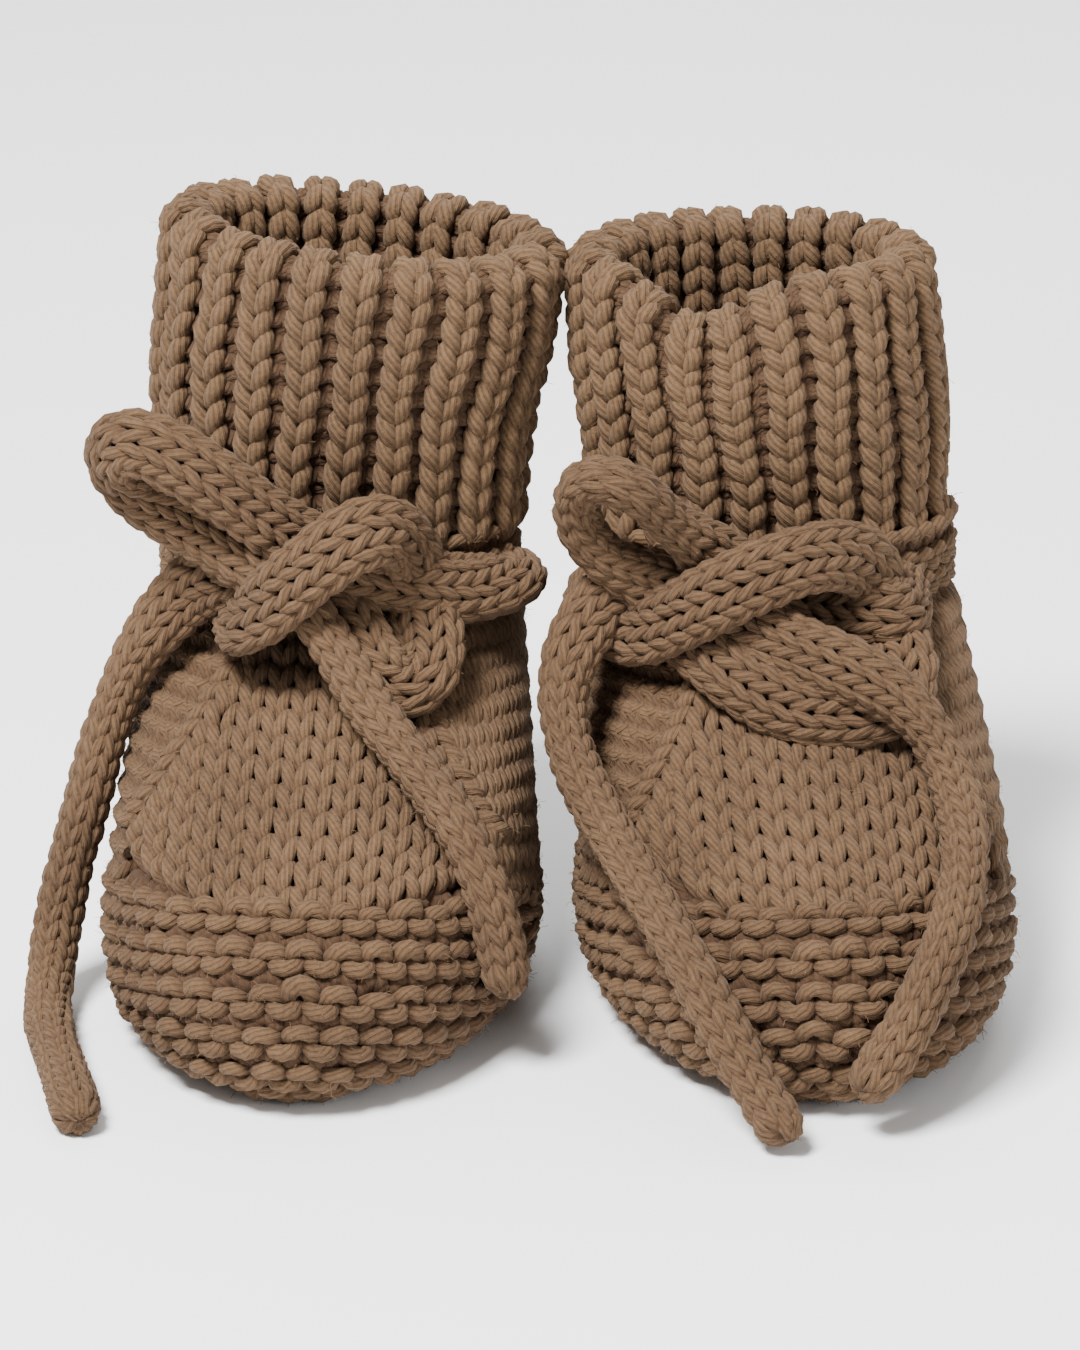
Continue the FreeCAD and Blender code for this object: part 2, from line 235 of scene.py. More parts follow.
@dataclass(frozen=True)
class ShadedFibre:
    """Painted shade seen between the stitches: a dark colour for the layers that lie behind the loops."""

    name: str = "inner_fibre"
    light: tuple = (0.075, 0.04, 0.021, 1.0)
    deep: tuple = (0.03, 0.015, 0.008, 1.0)

    def make(self) -> bpy.types.Material:
        """Build the painted shade material of the layer that is seen between stitches.

        Returns:
            The material.
        """
        shader = Shader(self.name)
        place = shader.node("ShaderNodeTexCoord", output="Object")
        tuft = shader.node("ShaderNodeTexNoise", {"noise_dimensions": "3D"},
                           {"Vector": place, "Scale": 500.0, "Detail": 5.0, "Roughness": 0.75}, "Fac")
        colour = shader.blend((tuft * 1.8 - 0.4).clamp(0.0, 1.0), self.deep, self.light)
        bump = shader.node("ShaderNodeBump", inputs={"Strength": 0.8, "Distance": 0.0008, "Height": tuft},
                           output="Normal")
        return shader.finish(Base_Color=colour, Roughness=1.0, Normal=bump, Specular_IOR_Level=0.05)


@dataclass(frozen=True)
class LooseFibre:
    """The fine fibres that stand off the yarn."""

    name: str = "loose_fibre"
    light: tuple = (0.22, 0.138, 0.078, 1.0)
    deep: tuple = (0.12, 0.068, 0.037, 1.0)

    def make(self) -> bpy.types.Material:
        """Build the fibres' material.

        Returns:
            The material.
        """
        shader = Shader(self.name)
        place = shader.node("ShaderNodeTexCoord", output="Object")
        shade = shader.node("ShaderNodeTexNoise", {"noise_dimensions": "3D"},
                            {"Vector": place, "Scale": 300.0, "Detail": 1.0}, "Fac")
        return shader.finish(Base_Color=shader.blend(shade, self.deep, self.light), Roughness=1.0,
                             Specular_IOR_Level=0.1)


@dataclass(frozen=True)
class PaleFloor:
    """A plain pale floor."""

    name: str = "pale_floor"
    colour: tuple = (0.97, 0.97, 0.97, 1.0)

    def make(self) -> bpy.types.Material:
        """Build the floor's material."""
        return Shader(self.name).finish(Base_Color=self.colour, Roughness=0.9, Specular_IOR_Level=0.1)


# ------------------------------------------------------------------ shapes


def smooth_read(where: np.ndarray, stations: np.ndarray, values: np.ndarray) -> np.ndarray:
    """Read a smooth curve through stations.

    Args:
        where: Where to read it.
        stations: Rising places of the known values.
        values: The known values.

    Returns:
        The values in between, with a continuous slope.
    """
    stations, values = np.asarray(stations, float), np.asarray(values, float)
    slopes = np.gradient(values, stations)
    where = np.clip(where, stations[0], stations[-1])
    low = np.clip(np.searchsorted(stations, where, side="right") - 1, 0, len(stations) - 2)
    width = stations[low + 1] - stations[low]
    share = (where - stations[low]) / width
    square, cube = share ** 2, share ** 3
    return ((2 * cube - 3 * square + 1) * values[low] + (cube - 2 * square + share) * width * slopes[low]
            + (3 * square - 2 * cube) * values[low + 1] + (cube - square) * width * slopes[low + 1])


def smooth_step(value: np.ndarray) -> np.ndarray:
    """Rise smoothly from 0 to 1 as the value does."""
    value = np.clip(value, 0.0, 1.0)
    return value * value * (3 - 2 * value)


class EvenOval:
    """Turns an even share of an ellipse's length, from its front, into the ellipse's own angle."""

    def __init__(self, samples: int = 720) -> None:
        """Tabulate the angle for ellipses of many proportions."""
        self.ratios = np.linspace(0.25, 4.0, 151)
        self.shares = np.linspace(-0.5, 0.5, samples + 1)
        angles = np.linspace(-math.pi, math.pi, 4 * samples + 1)
        self.table = np.empty((len(self.ratios), len(self.shares)))
        for row, ratio in enumerate(self.ratios):
            speed = np.hypot(np.cos(angles), ratio * np.sin(angles))
            length = np.concatenate(([0.0], np.cumsum((speed[1:] + speed[:-1]) / 2)))
            self.table[row] = np.interp(self.shares, length / length[-1] - 0.5, angles)

    def angle(self, share: np.ndarray, ratio: np.ndarray) -> np.ndarray:
        """Return the angle at a share, for a ratio of depth to width; shares past a half go on round.

        Args:
            share: Shares of the way round.
            ratio: Ratios of depth to width.

        Returns:
            The angles, in radians.
        """
        whole = np.floor(share + 0.5)
        place = (share - whole + 0.5) * (len(self.shares) - 1)
        row = np.clip((ratio - self.ratios[0]) / (self.ratios[1] - self.ratios[0]), 0,
                      len(self.ratios) - 1.001)
        column = np.clip(place, 0, len(self.shares) - 1.001)
        r, c = row.astype(int), column.astype(int)
        fr, fc = row - r, column - c
        table = self.table
        value = ((1 - fr) * ((1 - fc) * table[r, c] + fc * table[r, c + 1])
                 + fr * ((1 - fc) * table[r + 1, c] + fc * table[r + 1, c + 1]))
        return value + whole * math.tau

    def share(self, angle: np.ndarray, ratio: float) -> np.ndarray:
        """Return the even share at an angle, for one ratio."""
        row = self.table[int(round((ratio - self.ratios[0]) / (self.ratios[1] - self.ratios[0])))]
        return np.interp(angle, row, self.shares)


OVAL = EvenOval()


@dataclass(frozen=True)
class FootForm:
    """The outside of the foot, in the bootie's own frame and in millimetres."""

    length: float = 91.0
    width: float = 58.0
    edge_height: float = 10.0
    tread_inset: float = 7.5
    band_front: float = 27.0
    band_side: float = 15.5
    toe_slope: float = 10.5
    instep_bottom: float = 48.0
    instep_top: float = 16.0
    ankle_height: float = 48.0
    ankle_width: float = 50.0
    ankle_front: float = 8.5
    ankle_back: float = 42.5

    def stations(self) -> np.ndarray:
        """Return rows of height, half width, front and back.

        Returns:
            One row for each level, from the tread up.
        """
        half_width, half_length, inset = self.width / 2, self.length / 2, self.tread_inset
        top_front = -half_length + self.toe_slope
        rows = [
            (0.0, half_width - inset, -half_length + inset, half_length - inset),
            (0.35 * self.edge_height, half_width - 0.33 * inset, -half_length + 0.33 * inset,
             half_length - 0.33 * inset),
            (self.edge_height, half_width, -half_length, half_length),
            (self.edge_height + 0.47 * (self.band_front - self.edge_height), half_width - 0.2,
             top_front - 0.8 * self.toe_slope, half_length - 0.5),
            (self.band_front, half_width - 1.0, top_front, half_length - 1.0),
        ]
        for share in (1 / 3, 2 / 3, 1):
            rows.append((
                self.band_front + share * (self.ankle_height - self.band_front),
                half_width - 1.0 + share * (self.ankle_width / 2 - half_width + 1.0),
                top_front + share * (self.ankle_front - top_front),
                half_length - 1.0 + share * (self.ankle_back - half_length + 1.0)))
        return np.array(rows)

    def section(self, height: np.ndarray, inset: float) -> tuple:
        """Return the half width, half depth and middle of the oval at a height, moved in by an inset."""
        rows = self.stations()
        half_width = smooth_read(height, rows[:, 0], rows[:, 1]) - inset
        front = smooth_read(height, rows[:, 0], rows[:, 2]) + inset
        back = smooth_read(height, rows[:, 0], rows[:, 3]) - inset
        return half_width, (back - front) / 2, (back + front) / 2

    def point(self, share: np.ndarray, height: np.ndarray, inset: float) -> Points:
        """Return the point at a share round from the toe and at a height."""
        half_width, half_depth, middle = self.section(height, inset)
        angle = OVAL.angle(share, half_depth / half_width)
        return np.stack([half_width * np.sin(angle), middle - half_depth * np.cos(angle), height], -1)

    def band_line(self, y: np.ndarray) -> np.ndarray:
        """Return the height of the garter band's top edge at a place along the foot."""
        front = -self.length / 2 + self.toe_slope
        return self.band_front + (self.band_side - self.band_front) * np.clip((y - front) / -front, 0, 1)

    def panel_half(self, height: np.ndarray) -> np.ndarray:
        """Return half the instep panel's width at a height."""
        rise = np.clip((height - self.band_front) / (self.ankle_height - self.band_front), 0, 1)
        return (self.instep_bottom + (self.instep_top - self.instep_bottom) * rise) / 2


@dataclass(frozen=True)
class LegForm:
    """The eyelet band, leg and turned cuff of one bootie, in its own frame and in millimetres."""

    side: Side
    top: float
    foot: FootForm = FootForm()
    band_height: float = 10.0
    leg_width: float = 48.0
    leg_front: float = 10.4
    leg_back: float = 41.8
    fabric: float = 3.2
    ply_gap: float = 0.3
    lean_back: float = 3.0
    lean_in: float = 1.6
    rim_round: float = 4.0
    pinch: float = 1.6

    @property
    def base(self) -> float:
        """Height where the leg starts."""
        return self.foot.ankle_height + self.band_height

    def ring(self, share: np.ndarray, height: np.ndarray, inset: np.ndarray) -> Points:
        """Return the point at a share round the cuff, at a height, moved in from the cuff's outside.

        Args:
            share: Shares of the way round, from the front.
            height: Heights, in millimetres.
            inset: How far inside the outside, in millimetres.

        Returns:
            The points, in millimetres.
        """
        outward = self.fabric + self.ply_gap
        rise = np.clip((height - self.base) / (self.top - self.rim_round - self.base), -0.3, 1.3)
        half_width = self.leg_width / 2 + outward - inset
        half_depth = (self.leg_back - self.leg_front) / 2 + outward - inset
        middle = (self.leg_back + self.leg_front) / 2 + self.lean_back * rise
        angle = OVAL.angle(share, half_depth / half_width)
        points = np.stack([half_width * np.sin(angle) - self.side.value * self.lean_in * rise,
                           middle - half_depth * np.cos(angle), height], -1)
        return self.slouch(points)

    def slouch(self, points: Points) -> Points:
        """Let the top of the cuff settle the way soft ribbing does.

        Args:
            points: Points of the leg or the cuff, in millimetres.

        Returns:
            The settled points.
        """
        points = points.copy()
        x, y, z = points[..., 0], points[..., 1], points[..., 2]
        middle = (self.leg_back + self.leg_front) / 2 + self.lean_back
        upper = smooth_step((z - self.top + 34.0) / 34.0)
        front = smooth_step((middle - y) / 12.0)
        if self.side is Side.LEFT:
            points[..., 2] = z + upper * (-0.1 * x - 1.2 * front - 2.6)
            points[..., 0] = x + upper * (1.7 + 0.6 * np.sign(x) * smooth_step((np.abs(x) - 12) / 14))
        else:
            dent = np.exp(-((x + 10.0) / 8.0) ** 2) * front
            points[..., 2] = z - upper * (6.6 * dent + 0.6 * front + 1.7)
            points[..., 1] = y + upper * 3.0 * dent
            points[..., 0] = x - (x + 27.5) / 55.0 * (1.6 + 2.6 * upper)
        return points


@dataclass(frozen=True)
class Stand:
    """Where a bootie stands in the pair: beside the middle, with its toe turned out."""

    side: Side
    apart: float = 31.6
    forward: float = 1.25
    toe_out: float = 4.5

    def world(self, points: Points) -> Points:
        """Turn points of the bootie's own frame, in millimetres, into the pair's frame, in metres."""
        turn = math.radians(self.toe_out) * self.side.value
        x = math.cos(turn) * points[..., 0] - math.sin(turn) * points[..., 1] + self.side.value * self.apart
        y = math.sin(turn) * points[..., 0] + math.cos(turn) * points[..., 1] - self.forward
        return np.stack([x, y, points[..., 2]], -1) * MM


# ------------------------------------------------------------------ knitting


@dataclass(frozen=True)
class Gauge:
    """How a yarn is knitted: its thickness in millimetres and the shape of its loops."""

    yarn: float = 1.05
    depth: float = 0.85
    rise: float = 0.92
    spread: float = 0.22
    samples: int = 12
    sides: int = 2
    plump: float = 0.10
    jitter: float = 1.0
    hollow: float = 0.0
    arch: float = 1.0


@dataclass
class Swatch:
    """A knitted piece: courses of loops laid on a surface that is read in columns and rows."""

    name: str
    surface: Surface
    gauge: Gauge
    kind: Callable[[float, np.ndarray], np.ndarray]
    seed: int
    relief: Optional[Callable[[np.ndarray], np.ndarray]] = None
    lines: list = field(default_factory=list)

    def normals(self, u: np.ndarray, v: np.ndarray) -> Points:
        """Return the surface's outward normals: columns run to the right of rows that run up."""
        step = 0.05
        across = self.surface(u + step, v) - self.surface(u - step, v)
        up = self.surface(u, v + step) - self.surface(u, v - step)
        normal = np.cross(across, up)
        return normal / np.maximum(np.linalg.norm(normal, axis=-1, keepdims=True), 1e-12)

    def course(self, row: float, first: float, last: float, climb: float = 0.0,
               keep: Optional[Callable[[Points], np.ndarray]] = None) -> None:
        """Knit one course.

        Args:
            row: The course's row.
            first: The column where it starts.
            last: The column where it ends.
            climb: Rows that it climbs per column, for a spiral.
            keep: Says which points of the course stay.
        """
        gauge = self.gauge
        count = max(int(round((last - first) * gauge.samples)), 2) + 1
        base = np.linspace(first, last, count)
        crown = -np.cos(base * math.tau)
        column = np.floor(base)
        within = base - column
        here, above = self.kind(row, column), self.kind(row + 1, column)
        before, after = self.kind(row, column - 1), self.kind(row, column + 1)
        to_before = np.clip(0.5 - within / 0.24, 0, 0.5)
        to_after = np.clip(0.5 - (1 - within) / 0.24, 0, 0.5)
        bottom = here * (1 - to_before - to_after) + before * to_before + after * to_after
        sign = bottom + (above - bottom) * smooth_step((crown + 0.35) / 0.7)
        shaker = np.random.default_rng(self.seed * 7919 + int(row * 131) + 17)
        shake = shaker.normal(0.0, 1.0, (4, int(column.max() - column.min()) + 2)) * gauge.jitter
        index = (column - column.min()).astype(int)
        head = (crown + 1) / 2
        u = base + gauge.spread * np.sin(2 * base * math.tau) + 0.035 * shake[0][index] * head
        v = row + climb * (base - first) + gauge.rise * crown * (1 + 0.05 * shake[1][index] * head)
        depth = (gauge.depth * (1 - 2 * (1 - crown ** 2) ** gauge.arch) * sign
                 - gauge.hollow * (1 - crown ** 2)
                 + 0.08 * shake[2][index] * head)
        if self.relief is not None:
            depth = depth + self.relief(base)
        plump = 1 + gauge.plump * (1 - 2 * crown ** 2) + 0.04 * shake[3][index] * head
        normals = self.normals(u, v)
        points = self.surface(u, v) + normals * depth[:, None]
        # How far the yarn stands out; the yarn's material paints shade on the yarn that lies deep.
        proud = np.clip(0.5 + 0.5 * (depth - gauge.hollow * 0.3) / (gauge.depth + 0.5), 0, 1)
        if keep is None:
            self.lines.append((points, plump, proud, normals))
            return
        stay = keep(points)
        edges = np.flatnonzero(np.diff(np.concatenate(([0], stay.astype(int), [0]))))
        for start, stop in zip(edges[::2], edges[1::2]):
            if stop - start > 0.6 * gauge.samples:
                self.lines.append((points[start:stop], plump[start:stop], proud[start:stop],
                                   normals[start:stop]))

    def fuzz(self, stand: Callable[[Points], Points], per_stitch: float, reach: float) -> bpy.types.Mesh:
        """Raise loose fibres from the yarn.

        Args:
            stand: Turns millimetre points into the pair's frame.
            per_stitch: How many fibres a stitch has.
            reach: How far a fibre reaches, in millimetres.

        Returns:
            A mesh of short curled fibres.
        """
        shaker = np.random.default_rng(self.seed * 31 + 5)
        places = np.concatenate([line[0][:-1] for line in self.lines])
        along = np.concatenate([np.diff(line[0], axis=0) for line in self.lines])
        proud = np.concatenate([line[2][:-1] for line in self.lines])
        normals = np.concatenate([line[3][:-1] for line in self.lines])
        outer = np.flatnonzero(proud > 0.45)
        count = int(len(places) / self.gauge.samples * per_stitch)
        pick = shaker.choice(outer, count)
        place, normal = places[pick], normals[pick]
        along = along[pick] / np.maximum(np.linalg.norm(along[pick], axis=1, keepdims=True), 1e-9)
        across = np.cross(along, normal)
        turn = shaker.uniform(-1.2, 1.2, (count, 1))
        out = normal * np.cos(turn) + across * np.sin(turn)
        length = reach * shaker.uniform(0.4, 1.0, (count, 1))
        root = place + out * self.gauge.yarn * 0.9
        middle = root + out * length * 0.45 + along * length * shaker.uniform(-0.6, 0.6, (count, 1))
        tip = middle + (out * 0.3 + shaker.normal(0, 0.4, (count, 3))) * length
        strands = stand(np.stack([root, middle, tip], 1).reshape(-1, 3)).reshape(count, 3, 3)
        curve = bpy.data.curves.new(self.name + "_fuzz", "CURVE")
        curve.dimensions = "3D"
        curve.bevel_depth = 0.028 * MM
        curve.bevel_resolution = 0
        curve.use_fill_caps = True
        for strand in strands:
            spline = curve.splines.new("POLY")
            spline.points.add(2)
            spline.points.foreach_set("co", np.concatenate([strand, np.ones((3, 1))], 1).ravel())
        holder = bpy.data.objects.new(curve.name, curve)
        bpy.context.scene.collection.objects.link(holder)
        bpy.context.view_layer.update()
        mesh = bpy.data.meshes.new_from_object(holder.evaluated_get(bpy.context.evaluated_depsgraph_get()))
        bpy.data.objects.remove(holder)
        bpy.data.curves.remove(curve)
        return mesh

    def mesh(self, stand: Callable[[Points], Points]) -> bpy.types.Mesh:
        """Turn the courses into round yarn.

        Args:
            stand: Turns millimetre points into the pair's frame.

        Returns:
            A mesh whose UV map counts stitches along the yarn and once round it.
        """
        curve = bpy.data.curves.new(self.name, "CURVE")
        curve.dimensions = "3D"
        curve.bevel_depth = self.gauge.yarn * MM
        curve.bevel_resolution = self.gauge.sides
        curve.use_fill_caps = True
        for points, plump, _, _ in self.lines:
            spline = curve.splines.new("POLY")
            spline.points.add(len(points) - 1)
            flat = np.ones((len(points), 4))
            flat[:, :3] = stand(points)
            spline.points.foreach_set("co", flat.ravel())
            spline.points.foreach_set("radius", plump)
        holder = bpy.data.objects.new(self.name, curve)
        bpy.context.scene.collection.objects.link(holder)
        bpy.context.view_layer.update()
        mesh = bpy.data.meshes.new_from_object(holder.evaluated_get(bpy.context.evaluated_depsgraph_get()))
        bpy.data.objects.remove(holder)
        bpy.data.curves.remove(curve)
        self.count_stitches(mesh)
        return mesh

    def count_stitches(self, mesh: bpy.types.Mesh) -> None:
        """Count stitches along each course in the UV map, and mark how far each point stands out, which the
        yarn's material turns into painted shade on yarn that lies deep.

        Args:
            mesh: The mesh made from the courses.
        """
        sides = 2 * self.gauge.sides + 4
        caps = 2 * sides * len(self.lines)
        ends = caps + np.cumsum([len(points) * sides for points, _, _, _ in self.lines])
        lengths = np.array([(len(points) - 1) / self.gauge.samples for points, _, _, _ in self.lines])
        ends_first = [value for line in reversed(self.lines) for value in (line[2][-1], line[2][0])]
        proud = np.repeat(np.concatenate([ends_first] + [line[2] for line in self.lines]), sides)
        marks = mesh.attributes.new("proud", "FLOAT", "POINT")
        marks.data.foreach_set("value", proud.astype(np.float32))
        corners = np.empty(len(mesh.loops), int)
        mesh.loops.foreach_get("vertex_index", corners)
        data = mesh.uv_layers[0].data
        uv = np.empty(2 * len(mesh.loops))
        data.foreach_get("uv", uv)
        uv = uv.reshape(-1, 2)
        line = np.clip(np.searchsorted(ends, corners, side="right"), 0, len(ends) - 1)
        uv[:, 0] *= lengths[line]
        data.foreach_set("uv", uv.ravel())


def backing(name: str, surface: Surface, normals: Surface, columns: tuple, rows: tuple, sink: float,
            stand: Callable[[Points], Points], steps: tuple, drop: Optional[Callable] = None,
            closed: bool = False, tube: bool = False) -> bpy.types.Mesh:
    """Make the thin layer that lies among the loops of a swatch; with its dark material it is painted shade
    seen between the stitches.

    Args:
        name: The mesh's name.
        surface: The swatch's surface.
        normals: The swatch's normals.
        columns: First and last column.
        rows: First and last row.
        sink: How deep it lies below the middle of the fabric, in millimetres.
        stand: Turns millimetre points into the pair's frame.
        steps: Grid squares across the columns and rows.
        drop: Says which square's middle point, in columns and rows, is left out.
        closed: Whether the last column meets the first.
        tube: Whether it is a narrow tube that is capped at its ends, instead of a sheet with a thickness.

    Returns:
        The layer as a mesh.
    """
    bm = bmesh.new()
    bmesh.ops.create_grid(bm, x_segments=steps[0], y_segments=steps[1], size=0.5)
    flat = np.array([vertex.co[:2] for vertex in bm.verts]) + 0.5
    u = columns[0] + (columns[1] - columns[0]) * flat[:, 0]
    v = rows[0] + (rows[1] - rows[0]) * flat[:, 1]
    if drop is not None:
        bm.faces.ensure_lookup_table()
        gone = [face for face in bm.faces
                if drop(np.mean([u[corner.index] for corner in face.verts]),
                        np.mean([v[corner.index] for corner in face.verts]))]
    places = stand(surface(u, v) - normals(u, v) * sink)
    for vertex, place in zip(bm.verts, places):
        vertex.co = place
    if drop is not None:
        bmesh.ops.delete(bm, geom=gone, context="FACES")
    if closed:
        bmesh.ops.remove_doubles(bm, verts=bm.verts[:], dist=1e-5)
    if tube:
        bmesh.ops.holes_fill(bm, edges=bm.edges[:], sides=0)
    else:
        bmesh.ops.solidify(bm, geom=bm.faces[:], thickness=0.0003)
    for face in bm.faces:
        face.smooth = True
    mesh = bpy.data.meshes.new(name)
    bm.to_mesh(mesh)
    bm.free()
    return mesh


def piece(name: str, meshes: list, materials: list, body: str, slot: str, *nodes: str) -> bpy.types.Object:
    """Join meshes into one finished piece.

    Args:
        name: The piece's name.
        meshes: The meshes, each with the material of the same place in the list.
        materials: The materials.
        body: The CAD body that it rides on.
        slot: The material slot, which is not used.
        nodes: The CAD nodes that it stands for.

    Returns:
        The object.
    """
    bm = bmesh.new()
    bm.loops.layers.uv.new("UVMap")
    bm.verts.layers.float.new("proud")
    for number, mesh in enumerate(meshes):
        before = len(bm.faces)
        bm.from_mesh(mesh)
        bm.faces.ensure_lookup_table()
        for face in bm.faces[before:]:
            face.material_index = number
            face.smooth = True
    joined = bpy.data.meshes.new(name)
    bm.to_mesh(joined)
    bm.free()
    for mesh in meshes:
        bpy.data.meshes.remove(mesh)
    for material in materials:
        joined.materials.append(material)
    made = bpy.data.objects.new(name, joined)
    bpy.context.scene.collection.objects.link(made)
    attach(made, body)
    if nodes:
        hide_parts(*nodes)
    LOG.info("%s: %d faces", name, len(joined.polygons))
    return made


# ------------------------------------------------------------------ ties


def spline_line(name: str, route: Points) -> Points:
    """Read the smooth line that a route of control points gives.

    Args:
        name: A name for the spline.
        route: The control points, in metres.

    Returns:
        Points along the line, in metres.
    """
    curve = bpy.data.curves.new(name, "CURVE")
    curve.dimensions = "3D"
    curve.resolution_u = 10
    spline = curve.splines.new("NURBS")
    spline.points.add(len(route) - 1)
    for point, place in zip(spline.points, route):
        point.co = (*place, 1.0)
    spline.order_u = 3
    spline.use_endpoint_u = True
    holder = bpy.data.objects.new(name, curve)
    bpy.context.scene.collection.objects.link(holder)
    bpy.context.view_layer.update()
    mesh = bpy.data.meshes.new_from_object(holder.evaluated_get(bpy.context.evaluated_depsgraph_get()))
    line = np.array([vertex.co[:] for vertex in mesh.vertices])
    bpy.data.objects.remove(holder)
    bpy.data.curves.remove(curve)
    bpy.data.meshes.remove(mesh)
    return line


@dataclass
class KnittedTie:
    """A knitted cord: one long spiral of stitches round a line."""

    name: str
    line: Points
    hub: Points
    bare_end: bool
    seed: int
    flat_until: float = 0.6
    round_from: float = 0.7
    facing: float = 0.6
    stitches_round: int = 6
    row_height: float = 2.9
    round_half: float = 2.05
    flat_half: tuple = (1.4, 3.6)
    rolled: tuple = (0.0, 0.0)
    yarn: float = 0.82
    roll_ease: float = 0.06
    fibres_per_stitch: float = 2.5
    fibre_reach: float = 0.45
    diameter: float = 5.8

    def __post_init__(self) -> None:
        """Measure the line and carry a section frame along it."""
        places = self.line / MM
        keep = np.concatenate(([True], np.linalg.norm(np.diff(places, axis=0), axis=1) > 1e-6))
        places = places[keep]
        steps = np.linalg.norm(np.diff(places, axis=0), axis=1)
        self.along = np.concatenate(([0.0], np.cumsum(steps)))
        self.length = float(self.along[-1])
        even = np.linspace(0, self.length, int(self.length / 0.5) + 2)
        self.even = even
        self.places = np.stack([np.interp(even, self.along, places[:, axis]) for axis in range(3)], -1)
        tangents = np.gradient(self.places, axis=0)
        kernel = np.ones(5) / 5
        padded = np.pad(tangents, ((2, 2), (0, 0)), mode="edge")
        tangents = np.stack([np.convolve(padded[:, axis], kernel, "valid") for axis in range(3)], -1)
        tangents /= np.linalg.norm(tangents, axis=1, keepdims=True)
        radial = self.places - self.hub
        radial[:, 2] *= 0.5
        radial /= np.linalg.norm(radial, axis=1, keepdims=True)
        wanted = (1 - self.facing) * radial + self.facing * np.array([0.0, -0.93, 0.36])
        outs = np.empty_like(tangents)
        out = wanted[0] - tangents[0] * (wanted[0] @ tangents[0])
        for index, tangent in enumerate(tangents):
            pull = wanted[index] - tangent * (wanted[index] @ tangent)
            out = out - tangent * (out @ tangent)
            out = out / np.linalg.norm(out) + 0.12 * pull
            out /= np.linalg.norm(out)
            outs[index] = out
        self.tangents, self.outs = tangents, outs
        self.sides = np.cross(tangents, outs)
        self.rows = max(int(round(self.length / self.row_height)), 4)

    def read(self, table: Points, s: np.ndarray) -> Points:
        """Read a table kept along the line at places along it."""
        return np.stack([np.interp(s, self.even, table[:, axis]) for axis in range(3)], -1)

    def surface(self, u: np.ndarray, v: np.ndarray) -> Points:
        """Return the middle of the yarn's layer at a column round the cord and a row along it.

        Args:
            u: Columns round the cord.
            v: Rows along it.

        Returns:
            The points, in millimetres.
        """
        s = np.clip(v * self.length / self.rows, 0, self.length)
        share = s / self.length
        flat = 1 - smooth_step((share - self.flat_until) / (self.round_from - self.flat_until))
        flat = flat * smooth_step(s / 12.0 + 0.35)
        rolled = (smooth_step((share - self.rolled[0]) / self.roll_ease)
                  * smooth_step((self.rolled[1] - share) / self.roll_ease))
        flat = flat * (1 - rolled)
        thin = self.round_half + (self.flat_half[0] - self.round_half) * flat
        wide = self.round_half + (self.flat_half[1] - self.round_half) * flat
        if self.bare_end:
            left = np.clip((self.length - s) / 3.2, 0.0, 1.0)
            close = np.sqrt(np.clip(1 - (1 - left) ** 2, 0.03, 1.0))
            thin, wide = thin * close, wide * close
        swell = 1 + 0.035 * np.sin(s * 0.31 + self.seed) + 0.03 * np.sin(s * 0.13 + 2.0 * self.seed)
        angle = u / self.stitches_round * math.tau
        centre = self.read(self.places, s)
        outs, sides = self.read(self.outs, s), self.read(self.sides, s)
        return (centre + outs * (thin * swell * np.cos(angle))[..., None]
                + sides * (wide * swell * np.sin(angle))[..., None])

    def build(self, yarn: bpy.types.Material, fuzz: bpy.types.Material, shade_core: bpy.types.Material, body: str,
              node: str) -> bpy.types.Object:
        """Knit the tie and hide the CAD node that it stands for.

        Args:
            yarn: The yarn's material.
            fuzz: The loose fibres' material.
            shade_core: The core's material, painted shade seen between the cord's stitches.
            body: The body that it rides on.
            node: The CAD node that it stands for.

        Returns:
            The knitted tie.
        """
        gauge = Gauge(yarn=self.yarn, depth=0.5, rise=0.82, spread=0.255, samples=14, sides=1, plump=0.08)
        swatch = Swatch(self.name, self.surface, gauge, all_knit, self.seed)
        swatch.course(0, 0.0, float(self.stitches_round * self.rows), 1 / self.stitches_round)
        lining = backing(self.name + "_core", self.surface, swatch.normals, (0, self.stitches_round),
                         (0, self.rows), 0.45, millimetres, (12, self.rows), closed=True, tube=True)
        fibres = swatch.fuzz(millimetres, self.fibres_per_stitch, self.fibre_reach)
        return piece(self.name, [swatch.mesh(millimetres), fibres, lining],
                     [yarn, fuzz, shade_core], body, "tie_cord", node)

    def declare(self) -> None:
        self.diameter * MM


def millimetres(points: Points) -> Points:
    """Turn millimetres of the pair's frame into metres."""
    return points * MM


def all_knit(row: float, column: np.ndarray) -> np.ndarray:
    """Every stitch is knit."""
    return np.full(np.shape(column), Stitch.KNIT.value)


def all_purl(row: float, column: np.ndarray) -> np.ndarray:
    """Every stitch is purl."""
    return np.full(np.shape(column), Stitch.PURL.value)


def heel_seam(row: float, column: np.ndarray) -> np.ndarray:
    """Purl up to the middle of the round, knit beyond it."""
    return np.where(column > 0, all_knit(row, column), all_purl(row, column))


def garter(row: float, column: np.ndarray) -> np.ndarray:
    """Rows are knit and purl in turn."""
    kind = Stitch.PURL if int(round(row)) % 2 == 0 else Stitch.KNIT
    return np.full(np.shape(column), kind.value)


def single_rib(row: float, column: np.ndarray) -> np.ndarray:
    """Columns are knit and purl in turn."""
    return np.where(np.asarray(column) % 2 == 0, Stitch.KNIT.value, Stitch.PURL.value)


def rib_relief(u: np.ndarray) -> np.ndarray:
    """Return how far a rib's knit columns stand out and its purl columns sink, in millimetres."""
    return 1.15 * np.cos(math.tau * (u / 2 - 0.25)) - 0.15


